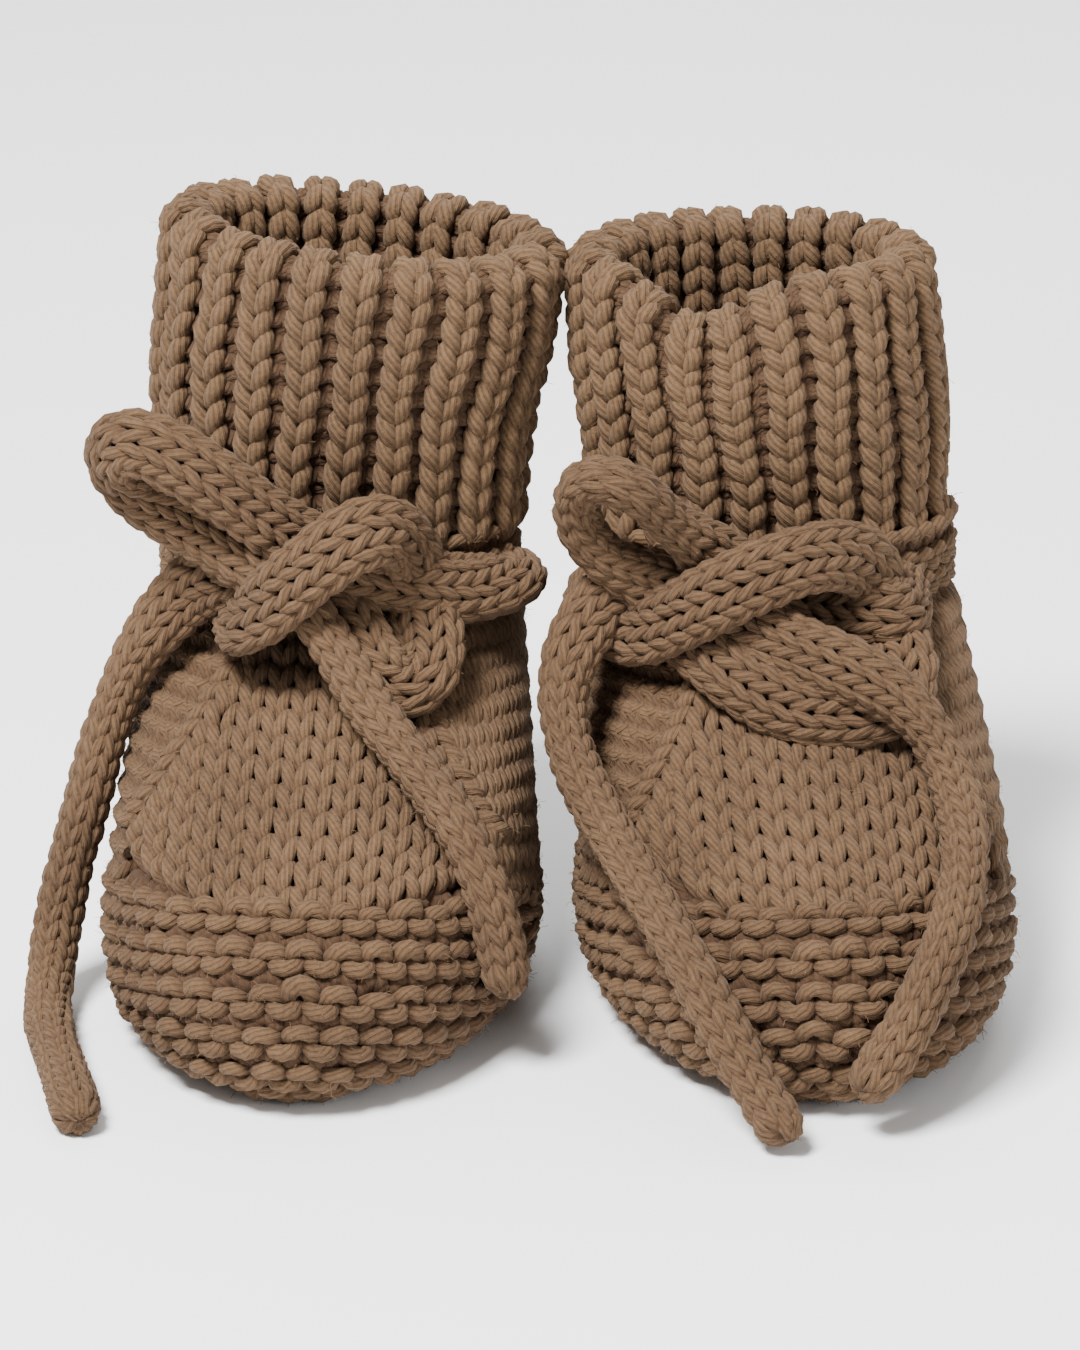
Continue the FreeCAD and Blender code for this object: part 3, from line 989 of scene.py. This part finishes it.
def rib_spread(u: np.ndarray) -> np.ndarray:
    """Widen the knit columns of a rib and narrow its purl columns."""
    return u + 2 * 0.16 / math.tau * np.sin(math.tau * (u / 2 - 0.25))


# ------------------------------------------------------------------ bootie


class FootMap:
    """Distances over the foot's outside, from the tread's edge up to the ankle."""

    def __init__(self, form: FootForm) -> None:
        """Measure the foot along upright lines."""
        self.form = form
        self.shares = np.linspace(-0.5, 0.5, 361)
        heights = np.linspace(0, form.ankle_height, 193)
        share, height = np.meshgrid(self.shares, heights, indexing="ij")
        points = form.point(share, height, 0.0)
        steps = np.linalg.norm(np.diff(points, axis=1), axis=-1)
        along = np.concatenate([np.zeros((len(self.shares), 1)), np.cumsum(steps, axis=1)], axis=1)
        self.total = along[:, -1]
        above = height - form.band_line(points[..., 1])
        self.line = np.array([np.interp(0.0, row_above, row_along)
                              for row_above, row_along in zip(above, along)])
        fractions = np.linspace(0, 1, 241)
        self.heights = np.array([np.interp(fractions * row[-1], row, heights) for row in along])

    def read(self, table: np.ndarray, share: np.ndarray) -> np.ndarray:
        """Read a table kept round the foot."""
        return np.interp((share + 0.5) % 1.0 - 0.5, self.shares, table)

    def point(self, share: np.ndarray, distance: np.ndarray) -> Points:
        """Return the point at a share round the foot and a distance up from the tread's edge.

        Args:
            share: Shares of the way round, from the toe.
            distance: Distances up the surface, in millimetres.

        Returns:
            The points, in millimetres.
        """
        wrapped = ((share + 0.5) % 1.0) * (len(self.shares) - 1)
        fraction = np.clip(distance / self.read(self.total, share), 0, 1) * (self.heights.shape[1] - 1)
        r = np.clip(wrapped.astype(int), 0, len(self.shares) - 2)
        c = np.clip(fraction.astype(int), 0, self.heights.shape[1] - 2)
        fr, fc = wrapped - r, fraction - c
        table = self.heights
        height = ((1 - fr) * ((1 - fc) * table[r, c] + fc * table[r, c + 1])
                  + fr * ((1 - fc) * table[r + 1, c] + fc * table[r + 1, c + 1]))
        place = self.form.point(share, height, 0.0)
        beyond = np.clip(distance - self.read(self.total, share), 0, None)
        place[..., 2] += beyond - np.clip(-distance, 0, None) * 0.2
        return place


@dataclass
class Bootie:
    """One bootie of the pair, with its pieces knitted from the sole up."""

    side: Side
    cuff_top: float
    yarn: bpy.types.Material
    # fibre is painted shade: the dark material of the layers seen between the stitches.
    fibre: bpy.types.Material
    cord_yarn: bpy.types.Material
    loose: bpy.types.Material
    band_columns: int = 46
    band_rows: int = 13
    ridge: float = 5.7
    quarter_columns: int = 52
    quarter_rows: int = 11
    instep_column: float = 3.6
    instep_rows: int = 11
    instep_reach: float = 8.0
    pinch_height: float = 26.0
    fibres_per_stitch: float = 3.0
    fibre_reach: float = 0.9
    rib_stitches: int = 40
    cuff_rows: int = 10
    rim_rows: float = 2.6
    leg_rows: int = 10
    cuff_inset: float = 3.0
    rim_radius: float = 1.5

    def __post_init__(self) -> None:
        """Work out the shapes that the pieces are laid on."""
        self.stand = Stand(self.side)
        self.foot = FootForm()
        self.map = FootMap(self.foot)
        self.leg = LegForm(self.side, self.cuff_top)
        self.body = f"{self.side.label}_bootie"
        self.hem = self.leg.base + 1.3
        self.rim_height = self.cuff_top - self.cuff_inset - self.rim_radius

    def seed(self, number: int) -> int:
        """Return a seed of this bootie's own."""
        return number + (50 if self.side is Side.RIGHT else 0)

    def name(self, part: str) -> str:
        """Return a piece's name."""
        return f"{self.side.label}_{part}_knit"

    def finish(self, part: str, swatches: list, shade_linings: list) -> bpy.types.Object:
        """Make one piece of swatches and linings, standing for the CAD node of the same part.

        Args:
            part: The name of the part.
            swatches: What is knitted.
            shade_linings: The layers behind it, dark with painted shade.

        Returns:
            The finished piece.
        """
        meshes = [swatch.mesh(self.stand.world) for swatch in swatches]
        fuzz = [swatch.fuzz(self.stand.world, self.fibres_per_stitch, self.fibre_reach) for swatch in swatches]
        # The layers behind the stitches take the fibre material, painted shade for the gaps.
        return piece(self.name(part), meshes + fuzz + shade_linings,
                     [self.yarn] * len(meshes) + [self.loose] * len(fuzz) + [self.fibre] * len(shade_linings),
                     self.body, "knit_fabric", f"{self.side.label}_{part}")

    def lining(self, part: str, surface: Surface, columns: tuple, rows: tuple, sink: float, steps: tuple,
               drop: Optional[Callable] = None, closed: bool = True) -> bpy.types.Mesh:
        """Make the layer behind a swatch, which carries painted shade for the gaps between its stitches.

        Args:
            part: The name of the part.
            surface: The surface that it lies behind.
            columns: Its first and last column.
            rows: Its first and last row.
            sink: How deep it lies, in millimetres.
            steps: How many steps it has each way.
            drop: Says which points to leave out.
            closed: Whether it closes on itself.

        Returns:
            The layer.
        """
        probe = Swatch(part, surface, Gauge(), all_knit, 0)
        return backing(f"{self.name(part)}_lining", surface, probe.normals, columns, rows, sink,
                       self.stand.world, steps, drop, closed)

    # The sole and the garter band.

    def sole(self) -> bpy.types.Object:
        """Knit the flat garter sole.

        Returns:
            The piece.
        """
        half_width = self.foot.width / 2 - self.foot.tread_inset
        half_length = self.foot.length / 2 - self.foot.tread_inset
        column, row = 4.5, self.ridge / 2

        def surface(u: np.ndarray, v: np.ndarray) -> Points:
            """Lay columns across the sole and rows from heel to toe."""
            return np.stack([-u * column, v * row, np.full(np.shape(u), 1.9)], -1)

        def inside(points: Points) -> np.ndarray:
            """Keep what lies within the tread's outline."""
            return (points[:, 0] / half_width) ** 2 + (points[:, 1] / half_length) ** 2 < 1

        swatch = Swatch(self.name("sole"), surface, Gauge(yarn=1.05, depth=0.75), garter, self.seed(1))
        for index in range(-int(half_length / row), int(half_length / row) + 1):
            swatch.course(index, -5.0, 5.0, keep=inside)

        def disc(u: np.ndarray, v: np.ndarray) -> Points:
            """Lay the lining inside the same outline."""
            x, y = np.asarray(u), np.asarray(v)
            return np.stack([-x * half_width * np.sqrt(1 - y * y / 2),
                             y * half_length * np.sqrt(1 - x * x / 2), np.full(np.shape(x), 2.2)], -1)

        lining = self.lining("sole", disc, (-1, 1), (-1, 1), 0.0, (20, 30), closed=False)
        return self.finish("sole", [swatch], [lining])

    def band_surface(self, u: np.ndarray, v: np.ndarray) -> Points:
        """Return the garter band's outside: rows go down from the band's top edge."""
        share = u / self.band_columns
        return self.map.point(share, self.map.read(self.map.line, share) - (0.3 - v) * self.ridge / 2)

    def foot_band(self) -> bpy.types.Object:
        """Knit the garter band with its toe cap.

        Returns:
            The piece.
        """
        swatch = Swatch(self.name("foot_band"), self.sunk(self.band_surface, 1.75),
                        Gauge(yarn=1.24, depth=1.15, rise=1.0, spread=0.21, samples=16, hollow=1.0, arch=1.8,
                              jitter=2.2), garter, self.seed(2))

        def above_tread(points: Points) -> np.ndarray:
            """Keep what lies clear of the ground."""
            return points[:, 2] > 1.15

        half = self.band_columns / 2
        for index in range(self.band_rows):
            swatch.course(-index, -half, half, keep=above_tread)

        def lining_surface(u: np.ndarray, v: np.ndarray) -> Points:
            """Read the band by its height share."""
            line = self.map.read(self.map.line, u)
            return self.map.point(u, 0.5 + (line - 0.5) * v)

        lining = self.lining("foot_band", lining_surface, (-0.5, 0.5), (0, 1), 2.1, (120, 20))
        return self.finish("foot_band", [swatch], [lining])

    def sunk(self, surface: Surface, depth: float) -> Surface:
        """Return a surface moved inward along its own normals.

        Args:
            surface: The surface to move.
            depth: How far to move it, in millimetres.

        Returns:
            The moved surface.
        """
        probe = Swatch("probe", surface, Gauge(), all_knit, 0)

        def inner(u: np.ndarray, v: np.ndarray) -> Points:
            """Return the moved surface."""
            return surface(u, v) - probe.normals(u, v) * depth

        return inner

    # The instep, its edges, and the sides and heel.

    def instep_surface(self, u: np.ndarray, v: np.ndarray) -> Points:
        """Return the instep: columns run straight back up its slope.

        Args:
            u: Columns from the middle.
            v: Rows up from the band.

        Returns:
            The points, in millimetres.
        """
        x = np.asarray(u) * self.instep_column
        rise = (np.asarray(v) + 0.1) / (self.instep_rows + 0.1)
        height = self.foot.band_front + (self.foot.ankle_height - self.foot.band_front) * rise
        half_width, half_depth, middle = self.foot.section(height, 0.0)
        over = np.clip(rise - 1, 0, None)
        y = middle - half_depth * np.sqrt(np.clip(1 - (x / half_width) ** 2, 0.05, 1))
        return np.stack([x, y, np.minimum(height, self.foot.ankle_height) + 12 * over], -1)

    def instep(self) -> bpy.types.Object:
        """Knit the stockinette instep with a chain of stitches along each edge.

        Returns:
            The piece.
        """
        swatch = Swatch(self.name("instep"), self.sunk(self.instep_surface, 1.6),
                        Gauge(yarn=0.92, depth=0.85, rise=0.84, spread=0.238, samples=16, jitter=1.3),
                        all_knit, self.seed(3))

        def inside(points: Points) -> np.ndarray:
            """Keep what lies between the edges."""
            return np.abs(points[:, 0]) < self.foot.panel_half(points[:, 2] + 1.0) + 0.3

        for index in range(self.instep_rows + 1):
            swatch.course(index, -self.instep_reach, self.instep_reach, keep=inside)
        edges = []
        for hand in (-1, 1):
            def edge_surface(u: np.ndarray, v: np.ndarray, hand: int = hand) -> Points:
                """Return the edge between the instep and the side.

                Args:
                    u: Place across the chain.
                    v: Rows up from the band.
                    hand: Which edge it is, -1 or 1.

                Returns:
                    The points, in millimetres.
                """
                rise = np.clip(np.asarray(v) / 12.0, -0.02, 1.02)
                height = self.foot.band_front + (self.foot.ankle_height - self.foot.band_front) * rise
                half_width, half_depth, middle = self.foot.section(height, 0.0)
                x = hand * (self.foot.panel_half(height) + 1.0) + np.asarray(u) * 3.6
                y = middle - half_depth * np.sqrt(np.clip(1 - (x / half_width) ** 2, 0.02, 1))
                return np.stack([x, y, height], -1)

            edge = Swatch(f"{self.name('instep')}_edge", self.sunk(edge_surface, 1.25),
                          Gauge(yarn=1.1, depth=0.6, rise=0.75, spread=0.27), all_knit, self.seed(4 + hand))
            for index in range(12):
                edge.course(index + 0.5, -0.5, 0.5)
            edges.append(edge)
        lining = self.lining("instep", self.instep_surface, (-6.6, 6.6), (-0.4, self.instep_rows + 0.2), 2.1,
                             (24, 30), closed=False)
        return self.finish("instep", [swatch, *edges], [lining])

    def quarter_surface(self, u: np.ndarray, v: np.ndarray) -> Points:
        """Return the sides and heel: rows go up from the band to the ankle."""
        share = np.asarray(u) / self.quarter_columns
        line, total = self.map.read(self.map.line, share), self.map.read(self.map.total, share)
        return self.map.point(share, line + (total - line) * (np.asarray(v) + 0.2) / self.quarter_rows)

    def quarter(self) -> bpy.types.Object:
        """Knit the two sides up to the heel seam: one has its purl face out, the other its knit face.

        Returns:
            The piece.
        """
        swatch = Swatch(self.name("quarter"), self.sunk(self.quarter_surface, 1.75),
                        Gauge(yarn=1.04, depth=0.85, rise=1.0, spread=0.23), heel_seam, self.seed(7))

        def outside(points: Points) -> np.ndarray:
            """Keep what lies beside and behind the instep."""
            return (np.abs(points[:, 0]) > self.foot.panel_half(points[:, 2]) - 0.6) | (points[:, 1] > 20)

        half = self.quarter_columns / 2
        for index in range(self.quarter_rows):
            swatch.course(index, -half, half, keep=outside)

        def lining_surface(u: np.ndarray, v: np.ndarray) -> Points:
            """Read the sides by their height share."""
            line, total = self.map.read(self.map.line, u), self.map.read(self.map.total, u)
            return self.map.point(u, line + (total - line) * v)

        def over_instep(u: float, v: float) -> bool:
            """Say what the instep covers."""
            place = lining_surface(np.array([u]), np.array([v]))[0]
            return bool(place[1] < 15 and abs(place[0]) < self.foot.panel_half(place[2]) - 2.0)

        lining = self.lining("quarter", lining_surface, (-0.5, 0.5), (0, 1), 2.1, (120, 20), over_instep)
        return self.finish("quarter", [swatch], [lining])

    # The eyelet band, the leg and the cuff.

    def eyelet_surface(self, u: np.ndarray, v: np.ndarray) -> Points:
        """Return the eyelet band's outside.

        Args:
            u: Columns round the ankle.
            v: Rows up from its lower edge.

        Returns:
            The points, in millimetres.
        """
        share = np.asarray(u) / self.rib_stitches
        half_depth = (self.foot.ankle_back - self.foot.ankle_front) / 2
        middle = (self.foot.ankle_back + self.foot.ankle_front) / 2
        half_width = self.foot.ankle_width / 2
        angle = OVAL.angle(share, np.full(np.shape(share), half_depth / half_width))
        height = self.foot.ankle_height + 1.4 + np.asarray(v) * 3.4
        return np.stack([half_width * np.sin(angle), middle - half_depth * np.cos(angle), height], -1)

    def eyelet_band(self) -> bpy.types.Object:
        """Knit the purl rows that the tie is threaded through.

        Returns:
            The piece.
        """
        swatch = Swatch(self.name("eyelet_band"), self.sunk(self.eyelet_surface, 1.8),
                        Gauge(yarn=1.12, depth=0.85, rise=0.8, spread=0.25), all_purl, self.seed(8))
        half = self.rib_stitches / 2
        for index in range(3):
            swatch.course(index, -half, half)
        lining = self.lining("eyelet_band", self.eyelet_surface, (-half, half), (-0.4, 2.5), 2.3, (88, 6))
        return self.finish("eyelet_band", [swatch], [lining])

    def cuff_surface(self, u: np.ndarray, v: np.ndarray) -> Points:
        """Return the middle of the cuff's yarn: up its outside, over its rim and down inside the leg.

        Args:
            u: Columns round the leg.
            v: Rows up from the hem.

        Returns:
            The points, in millimetres.
        """
        v = np.asarray(v, float)
        wave = 2.4 * np.sin(0.37 * np.asarray(u) + self.side.value)
        sway = 0.13 * np.sin(0.75 * v + wave) * np.clip(v / 3, 0, 1)
        share = (rib_spread(np.asarray(u)) + sway) / self.rib_stitches
        wall = self.rim_height - self.hem
        pitch = wall / self.cuff_rows
        up = np.minimum(v, self.cuff_rows) * pitch
        turn = np.clip((v - self.cuff_rows) / self.rim_rows, 0, 1) * math.pi
        down = np.clip(v - self.cuff_rows - self.rim_rows, 0, None) * pitch
        height = self.hem + up + self.rim_radius * np.sin(turn) - down
        inset = self.cuff_inset + self.rim_radius * (1 - np.cos(turn))
        pinch = self.leg.pinch * smooth_step((self.hem + self.pinch_height - height) / self.pinch_height)
        return self.leg.ring(share, height, inset + pinch)

    def cuff(self) -> bpy.types.Object:
        """Knit the ribbed cuff from its hem up over the rim.

        Returns:
            The piece.
        """
        swatch = Swatch(self.name("cuff"), self.cuff_surface,
                        Gauge(yarn=1.17, depth=0.75, rise=0.84, spread=0.265, samples=16, jitter=1.6),
                        single_rib, self.seed(9), rib_relief)
        half = self.rib_stitches / 2
        for index in range(self.cuff_rows + int(self.rim_rows) + 1):
            swatch.course(index, -half, half)
        lining = self.lining("cuff", self.cuff_surface, (-half, half),
                             (-0.5, self.cuff_rows + self.rim_rows), 0.8, (132, 28))
        return self.finish("cuff", [swatch], [lining])

    def leg_tube(self) -> bpy.types.Object:
        """Knit the leg's inside, from the rim down to the eyelet band.

        Returns:
            The piece.
        """
        swatch = Swatch(self.name("leg"), self.cuff_surface,
                        Gauge(yarn=1.17, depth=0.75, rise=0.84, spread=0.265, samples=14, jitter=1.4),
                        single_rib, self.seed(10), rib_relief)
        half = self.rib_stitches / 2
        first = self.cuff_rows + int(self.rim_rows) + 1
        for index in range(first, first + self.leg_rows):
            swatch.course(index, -half, half)
        lining = self.lining("leg", self.cuff_surface, (-half, half),
                             (self.cuff_rows + self.rim_rows, first + self.leg_rows + 0.5), 0.9, (132, 20))
        return self.finish("leg", [swatch], [lining])

    # The tie.

    def ties(self) -> list:
        """Knit the tie: the stretch round the ankle and the two free strands.

        Returns:
            The three pieces.
        """
        routes = TIE_ROUTES[self.side]
        middle = np.array([0.0, (self.foot.ankle_front + self.foot.ankle_back) / 2,
                           self.foot.ankle_height + 5.0])
        waist = middle + routes.waist_points(self.foot)
        hub = self.stand.world(middle[None])[0] / MM
        made = []
        strands = (("tie_waist", waist, False, 0.9, 0.99, 0.0),
                   ("tie_loop", np.vstack([waist[:1], middle + np.array(routes.loop)]), True,
                    routes.loop_flat, routes.loop_flat + 0.1, 0.6),
                   ("tie_knot", np.vstack([waist[-1:], middle + np.array(routes.knot)]), True,
                    routes.knot_flat, routes.knot_flat + 0.1, 0.6))
        for number, (part, points, bare, flat, rounded, facing) in enumerate(strands):
            name = f"{self.side.label}_{part}"
            line = spline_line(f"{name}_line", self.stand.world(points))
            tie = KnittedTie(f"{name}_knit", line, hub, bare, self.seed(20 + number), flat, rounded, facing,
                             flat_half=(1.4, 3.75 if part == "tie_knot" else 3.5) if bare else (1.4, 2.6),
                             rolled=routes.rolled_loop if part == "tie_loop" else (0.0, 0.0))
            # The fibre material paints shade on the cord's core.
            knitted = tie.build(self.cord_yarn, self.loose, self.fibre, self.body, name)
            if bare:
                tie.declare()
            made.append(knitted)
        return made

    def knit(self) -> None:
        """Knit every piece but the tie."""
        for work in (self.sole, self.foot_band, self.instep, self.quarter, self.eyelet_band, self.leg_tube,
                     self.cuff):
            work()


@dataclass(frozen=True)
class TieRoute:
    """The way of one bootie's tie, in millimetres from the middle of its eyelet band."""

    waist: tuple
    loop: tuple
    knot: tuple
    loop_flat: float
    knot_flat: float
    rolled_loop: tuple = (0.0, 0.0)

    def waist_points(self, foot: FootForm, radius: float = 3.3, fabric: float = 3.2) -> Points:
        """Return the stretch round the ankle from angles, places across the band and heights.

        Args:
            foot: The foot's form.
            radius: The tie's radius and clearance, in millimetres.
            fabric: The fabric's thickness, in millimetres.

        Returns:
            The points, in millimetres.
        """
        half_width, half_depth = foot.ankle_width / 2, (foot.ankle_back - foot.ankle_front) / 2
        rows = []
        for angle, across, height in self.waist:
            step = across * radius - (1 - across) * (radius + fabric)
            rows.append(((half_width + step) * math.sin(math.radians(angle)),
                         -(half_depth + step) * math.cos(math.radians(angle)), height))
        return np.array(rows)


TIE_ROUTES = {
    Side.LEFT: TieRoute(
        waist=(
            (76, 0.5, 0), (106, 0, 0), (127, 0, 0), (150, 1, 0), (170, 1, 0), (190, 1, 0), (210, 1, 0),
            (233, 0, 0), (257, 0, 0), (280, 0, 0), (300, 0, -0.6), (318, 0, -1.6), (329, 0.5, -1.8)),
        loop=(
            (25.7, -7.7, 0.1), (23.3, -13.0, 0.6), (17.6, -17.8, 1.2), (11.0, -22.0, 4.0), (4.0, -22.9, 5.7),
            (-2.5, -23.6, 9.2), (-9.0, -25.8, 14.8), (-14.8, -26.9, 19.6), (-20.4, -26.7, 23.0),
            (-25.4, -25.8, 23.8), (-28.0, -23.8, 20.0), (-25.8, -21.8, 15.6), (-18.0, -20.3, 10.9),
            (-11.0, -23.0, 7.6), (-5.9, -25.2, 5.0), (-1.0, -27.0, 1.2), (3.7, -30.5, -4.4),
            (7.9, -34.8, -9.8), (14.9, -41.7, -15.4), (20.8, -47.8, -20.7), (24.5, -51.1, -27.9),
            (26.6, -51.8, -35.9), (27.3, -53.2, -41.2)),
        knot=(
            (-11.2, -25.0, -2.3), (-6.5, -29.5, 2.5), (-1.0, -31.5, 8.0), (4.0, -31.0, 12.3),
            (9.0, -27.0, 13.2), (12.0, -21.8, 8.6), (12.4, -18.6, 1.6), (14.9, -24.7, -5.2),
            (13.6, -28.3, -7.8), (10.2, -30.1, -8.1), (6.9, -29.6, -5.7), (3.8, -25.0, -0.6),
            (-1.5, -21.0, 3.0), (-7.3, -20.5, 4.8), (-12.5, -19.8, 3.8), (-18.0, -17.6, 0.6),
            (-22.9, -19.6, -4.6), (-27.2, -20.2, -12.0), (-29.7, -23.8, -19.5), (-31.2, -27.9, -26.5),
            (-33.5, -29.5, -34.5), (-35.2, -32.0, -42.5), (-35.4, -37.0, -48.3), (-34.6, -46.0, -50.0),
            (-31.8, -56.0, -49.9), (-28.6, -66.0, -50.0), (-25.4, -76.5, -50.0)),
        loop_flat=0.56, knot_flat=0.5),
    Side.RIGHT: TieRoute(
        waist=(
            (45, 0.5, -0.9), (54, 0, -0.8), (79, 0, 0), (104, 0, 0), (127, 0, 0), (150, 1, 0), (170, 1, 0),
            (190, 1, 0), (210, 1, 0), (233, 0, 0), (254, 0, -0.6), (284, 0.5, -1.2)),
        loop=(
            (16.2, -20.0, -1.0), (12.9, -24.0, -0.6), (8.2, -23.1, 0.0), (3.0, -21.4, 0.3),
            (-5.0, -21.2, 2.0), (-9.7, -21.8, 6.0), (-13.6, -22.8, 10.0), (-17.5, -24.5, 13.6),
            (-21.5, -27.0, 18.6),
            (-26.0, -26.2, 20.2), (-29.0, -22.4, 17.6), (-28.8, -19.6, 11.4), (-25.0, -18.4, 5.6),
            (-17.8, -19.4, 2.0), (-11.0, -23.2, 0.2), (-5.8, -27.9, -1.2), (-0.3, -32.0, -2.4),
            (6.1, -34.8, -4.6), (12.7, -36.0, -8.2), (17.6, -38.9, -14.0), (19.4, -46.1, -20.0),
            (18.7, -55.4, -24.2), (15.6, -64.1, -29.9), (10.9, -70.8, -35.7), (6.8, -73.4, -42.0),
            (3.0, -75.1, -46.4)),
        knot=(
            (-25.7, -7.7, -1.8), (-24.2, -13.2, -3.0), (-21.5, -19.7, -4.2), (-16.8, -25.0, -0.5),
            (-10.6, -29.6, 4.9), (-2.8, -30.2, 8.6), (4.8, -26.4, 9.0), (10.6, -21.0, 4.8),
            (11.0, -19.6, -2.2), (14.2, -25.6, -6.0), (13.2, -30.6, -9.4), (9.6, -34.1, -10.8),
            (4.5, -34.5, -10.8), (-1.5, -33.8, -10.0), (-8.0, -30.4, -7.2), (-12.8, -24.5, -4.1),
            (-16.0, -18.0, -1.5), (-20.0, -16.4, 0.8), (-24.5, -17.7, 0.3), (-29.3, -21.5, -4.2),
            (-31.6, -25.0, -11.4), (-30.0, -32.5, -18.4), (-26.2, -42.3, -23.7), (-22.0, -54.3, -27.6),
            (-17.8, -64.8, -33.2), (-13.4, -70.2, -41.0), (-9.6, -74.6, -47.3), (-7.0, -79.5, -49.8)),
        loop_flat=0.6, knot_flat=0.58, rolled_loop=(0.2, 0.48)),
}


# ------------------------------------------------------------------ studio


@dataclass(frozen=True)
class Studio:
    """Camera, floor and soft lights, in metres."""

    aim: tuple = (-0.0024, -0.0021, 0.0448)
    elevation: float = 21.0
    distance: float = 0.72
    lens: float = 145.0
    floor_half: float = 3.0

    def camera(self) -> None:
        """Make the camera in front of the toes, looking down on them."""
        data = bpy.data.cameras.new("studio_camera")
        data.lens = self.lens
        data.sensor_width = 36.0
        data.clip_start = 0.05
        camera = bpy.data.objects.new("studio_camera", data)
        slope = math.radians(self.elevation)
        back = Vector((0.0, -math.cos(slope), math.sin(slope)))
        camera.location = Vector(self.aim) + back * self.distance
        camera.rotation_euler = (-back).to_track_quat("-Z", "Y").to_euler()
        bpy.context.scene.collection.objects.link(camera)
        bpy.context.scene.camera = camera

    def light(self, name: str, place: tuple, size: float, power: float) -> None:
        """Add a square soft light that faces the booties.

        Args:
            name: The light's name.
            place: Where it hangs, in metres.
            size: Its side, in metres.
            power: Its power, in watts.
        """
        data = bpy.data.lights.new(name, "AREA")
        data.size = size
        data.energy = power
        lamp = bpy.data.objects.new(name, data)
        lamp.location = place
        lamp.rotation_euler = (Vector(self.aim) - Vector(place)).to_track_quat("-Z", "Y").to_euler()
        bpy.context.scene.collection.objects.link(lamp)

    def room(self) -> None:
        """Make the floor, the lights and the pale surroundings."""
        bm = bmesh.new()
        bmesh.ops.create_grid(bm, x_segments=1, y_segments=1, size=self.floor_half)
        mesh = bpy.data.meshes.new("studio_floor")
        bm.to_mesh(mesh)
        bm.free()
        mesh.materials.append(PaleFloor().make())
        floor = bpy.data.objects.new("studio_floor", mesh)
        bpy.context.scene.collection.objects.link(floor)
        self.light("key", (-0.30, -0.40, 0.85), 0.30, 30.0)
        self.light("fill", (0.7, -0.6, 0.4), 0.5, 3.0)
        self.light("back", (0.1, 0.6, 0.7), 0.6, 7.0)
        world = bpy.data.worlds.new("studio_world")
        world.use_nodes = True
        world.node_tree.nodes["Background"].inputs["Color"].default_value = (1.0, 1.0, 1.0, 1.0)
        world.node_tree.nodes["Background"].inputs["Strength"].default_value = 0.42
        bpy.context.scene.world = world


CUFF_TOPS = {Side.LEFT: 103.0, Side.RIGHT: 98.5}


def main() -> None:
    """Make the camera and the ties, then knit the booties and light them."""
    logging.basicConfig(level=logging.INFO, format="%(name)s: %(message)s")
    studio = Studio()
    studio.camera()
    # fibre is the painted shade seen between the stitches.
    yarn, fibre = CottonYarn().make(), ShadedFibre().make()
    cord_yarn = CottonYarn(name="tie_yarn", plies=6, turns_per_stitch=6.0).make()
    loose = LooseFibre().make()
    pair = [Bootie(side, top, yarn, fibre, cord_yarn, loose) for side, top in CUFF_TOPS.items()]
    for bootie in pair:
        bootie.ties()
    for bootie in pair:
        bootie.knit()
        LOG.info("%s bootie knitted", bootie.side.label)
    studio.room()


if __name__ == "__main__":
    main()
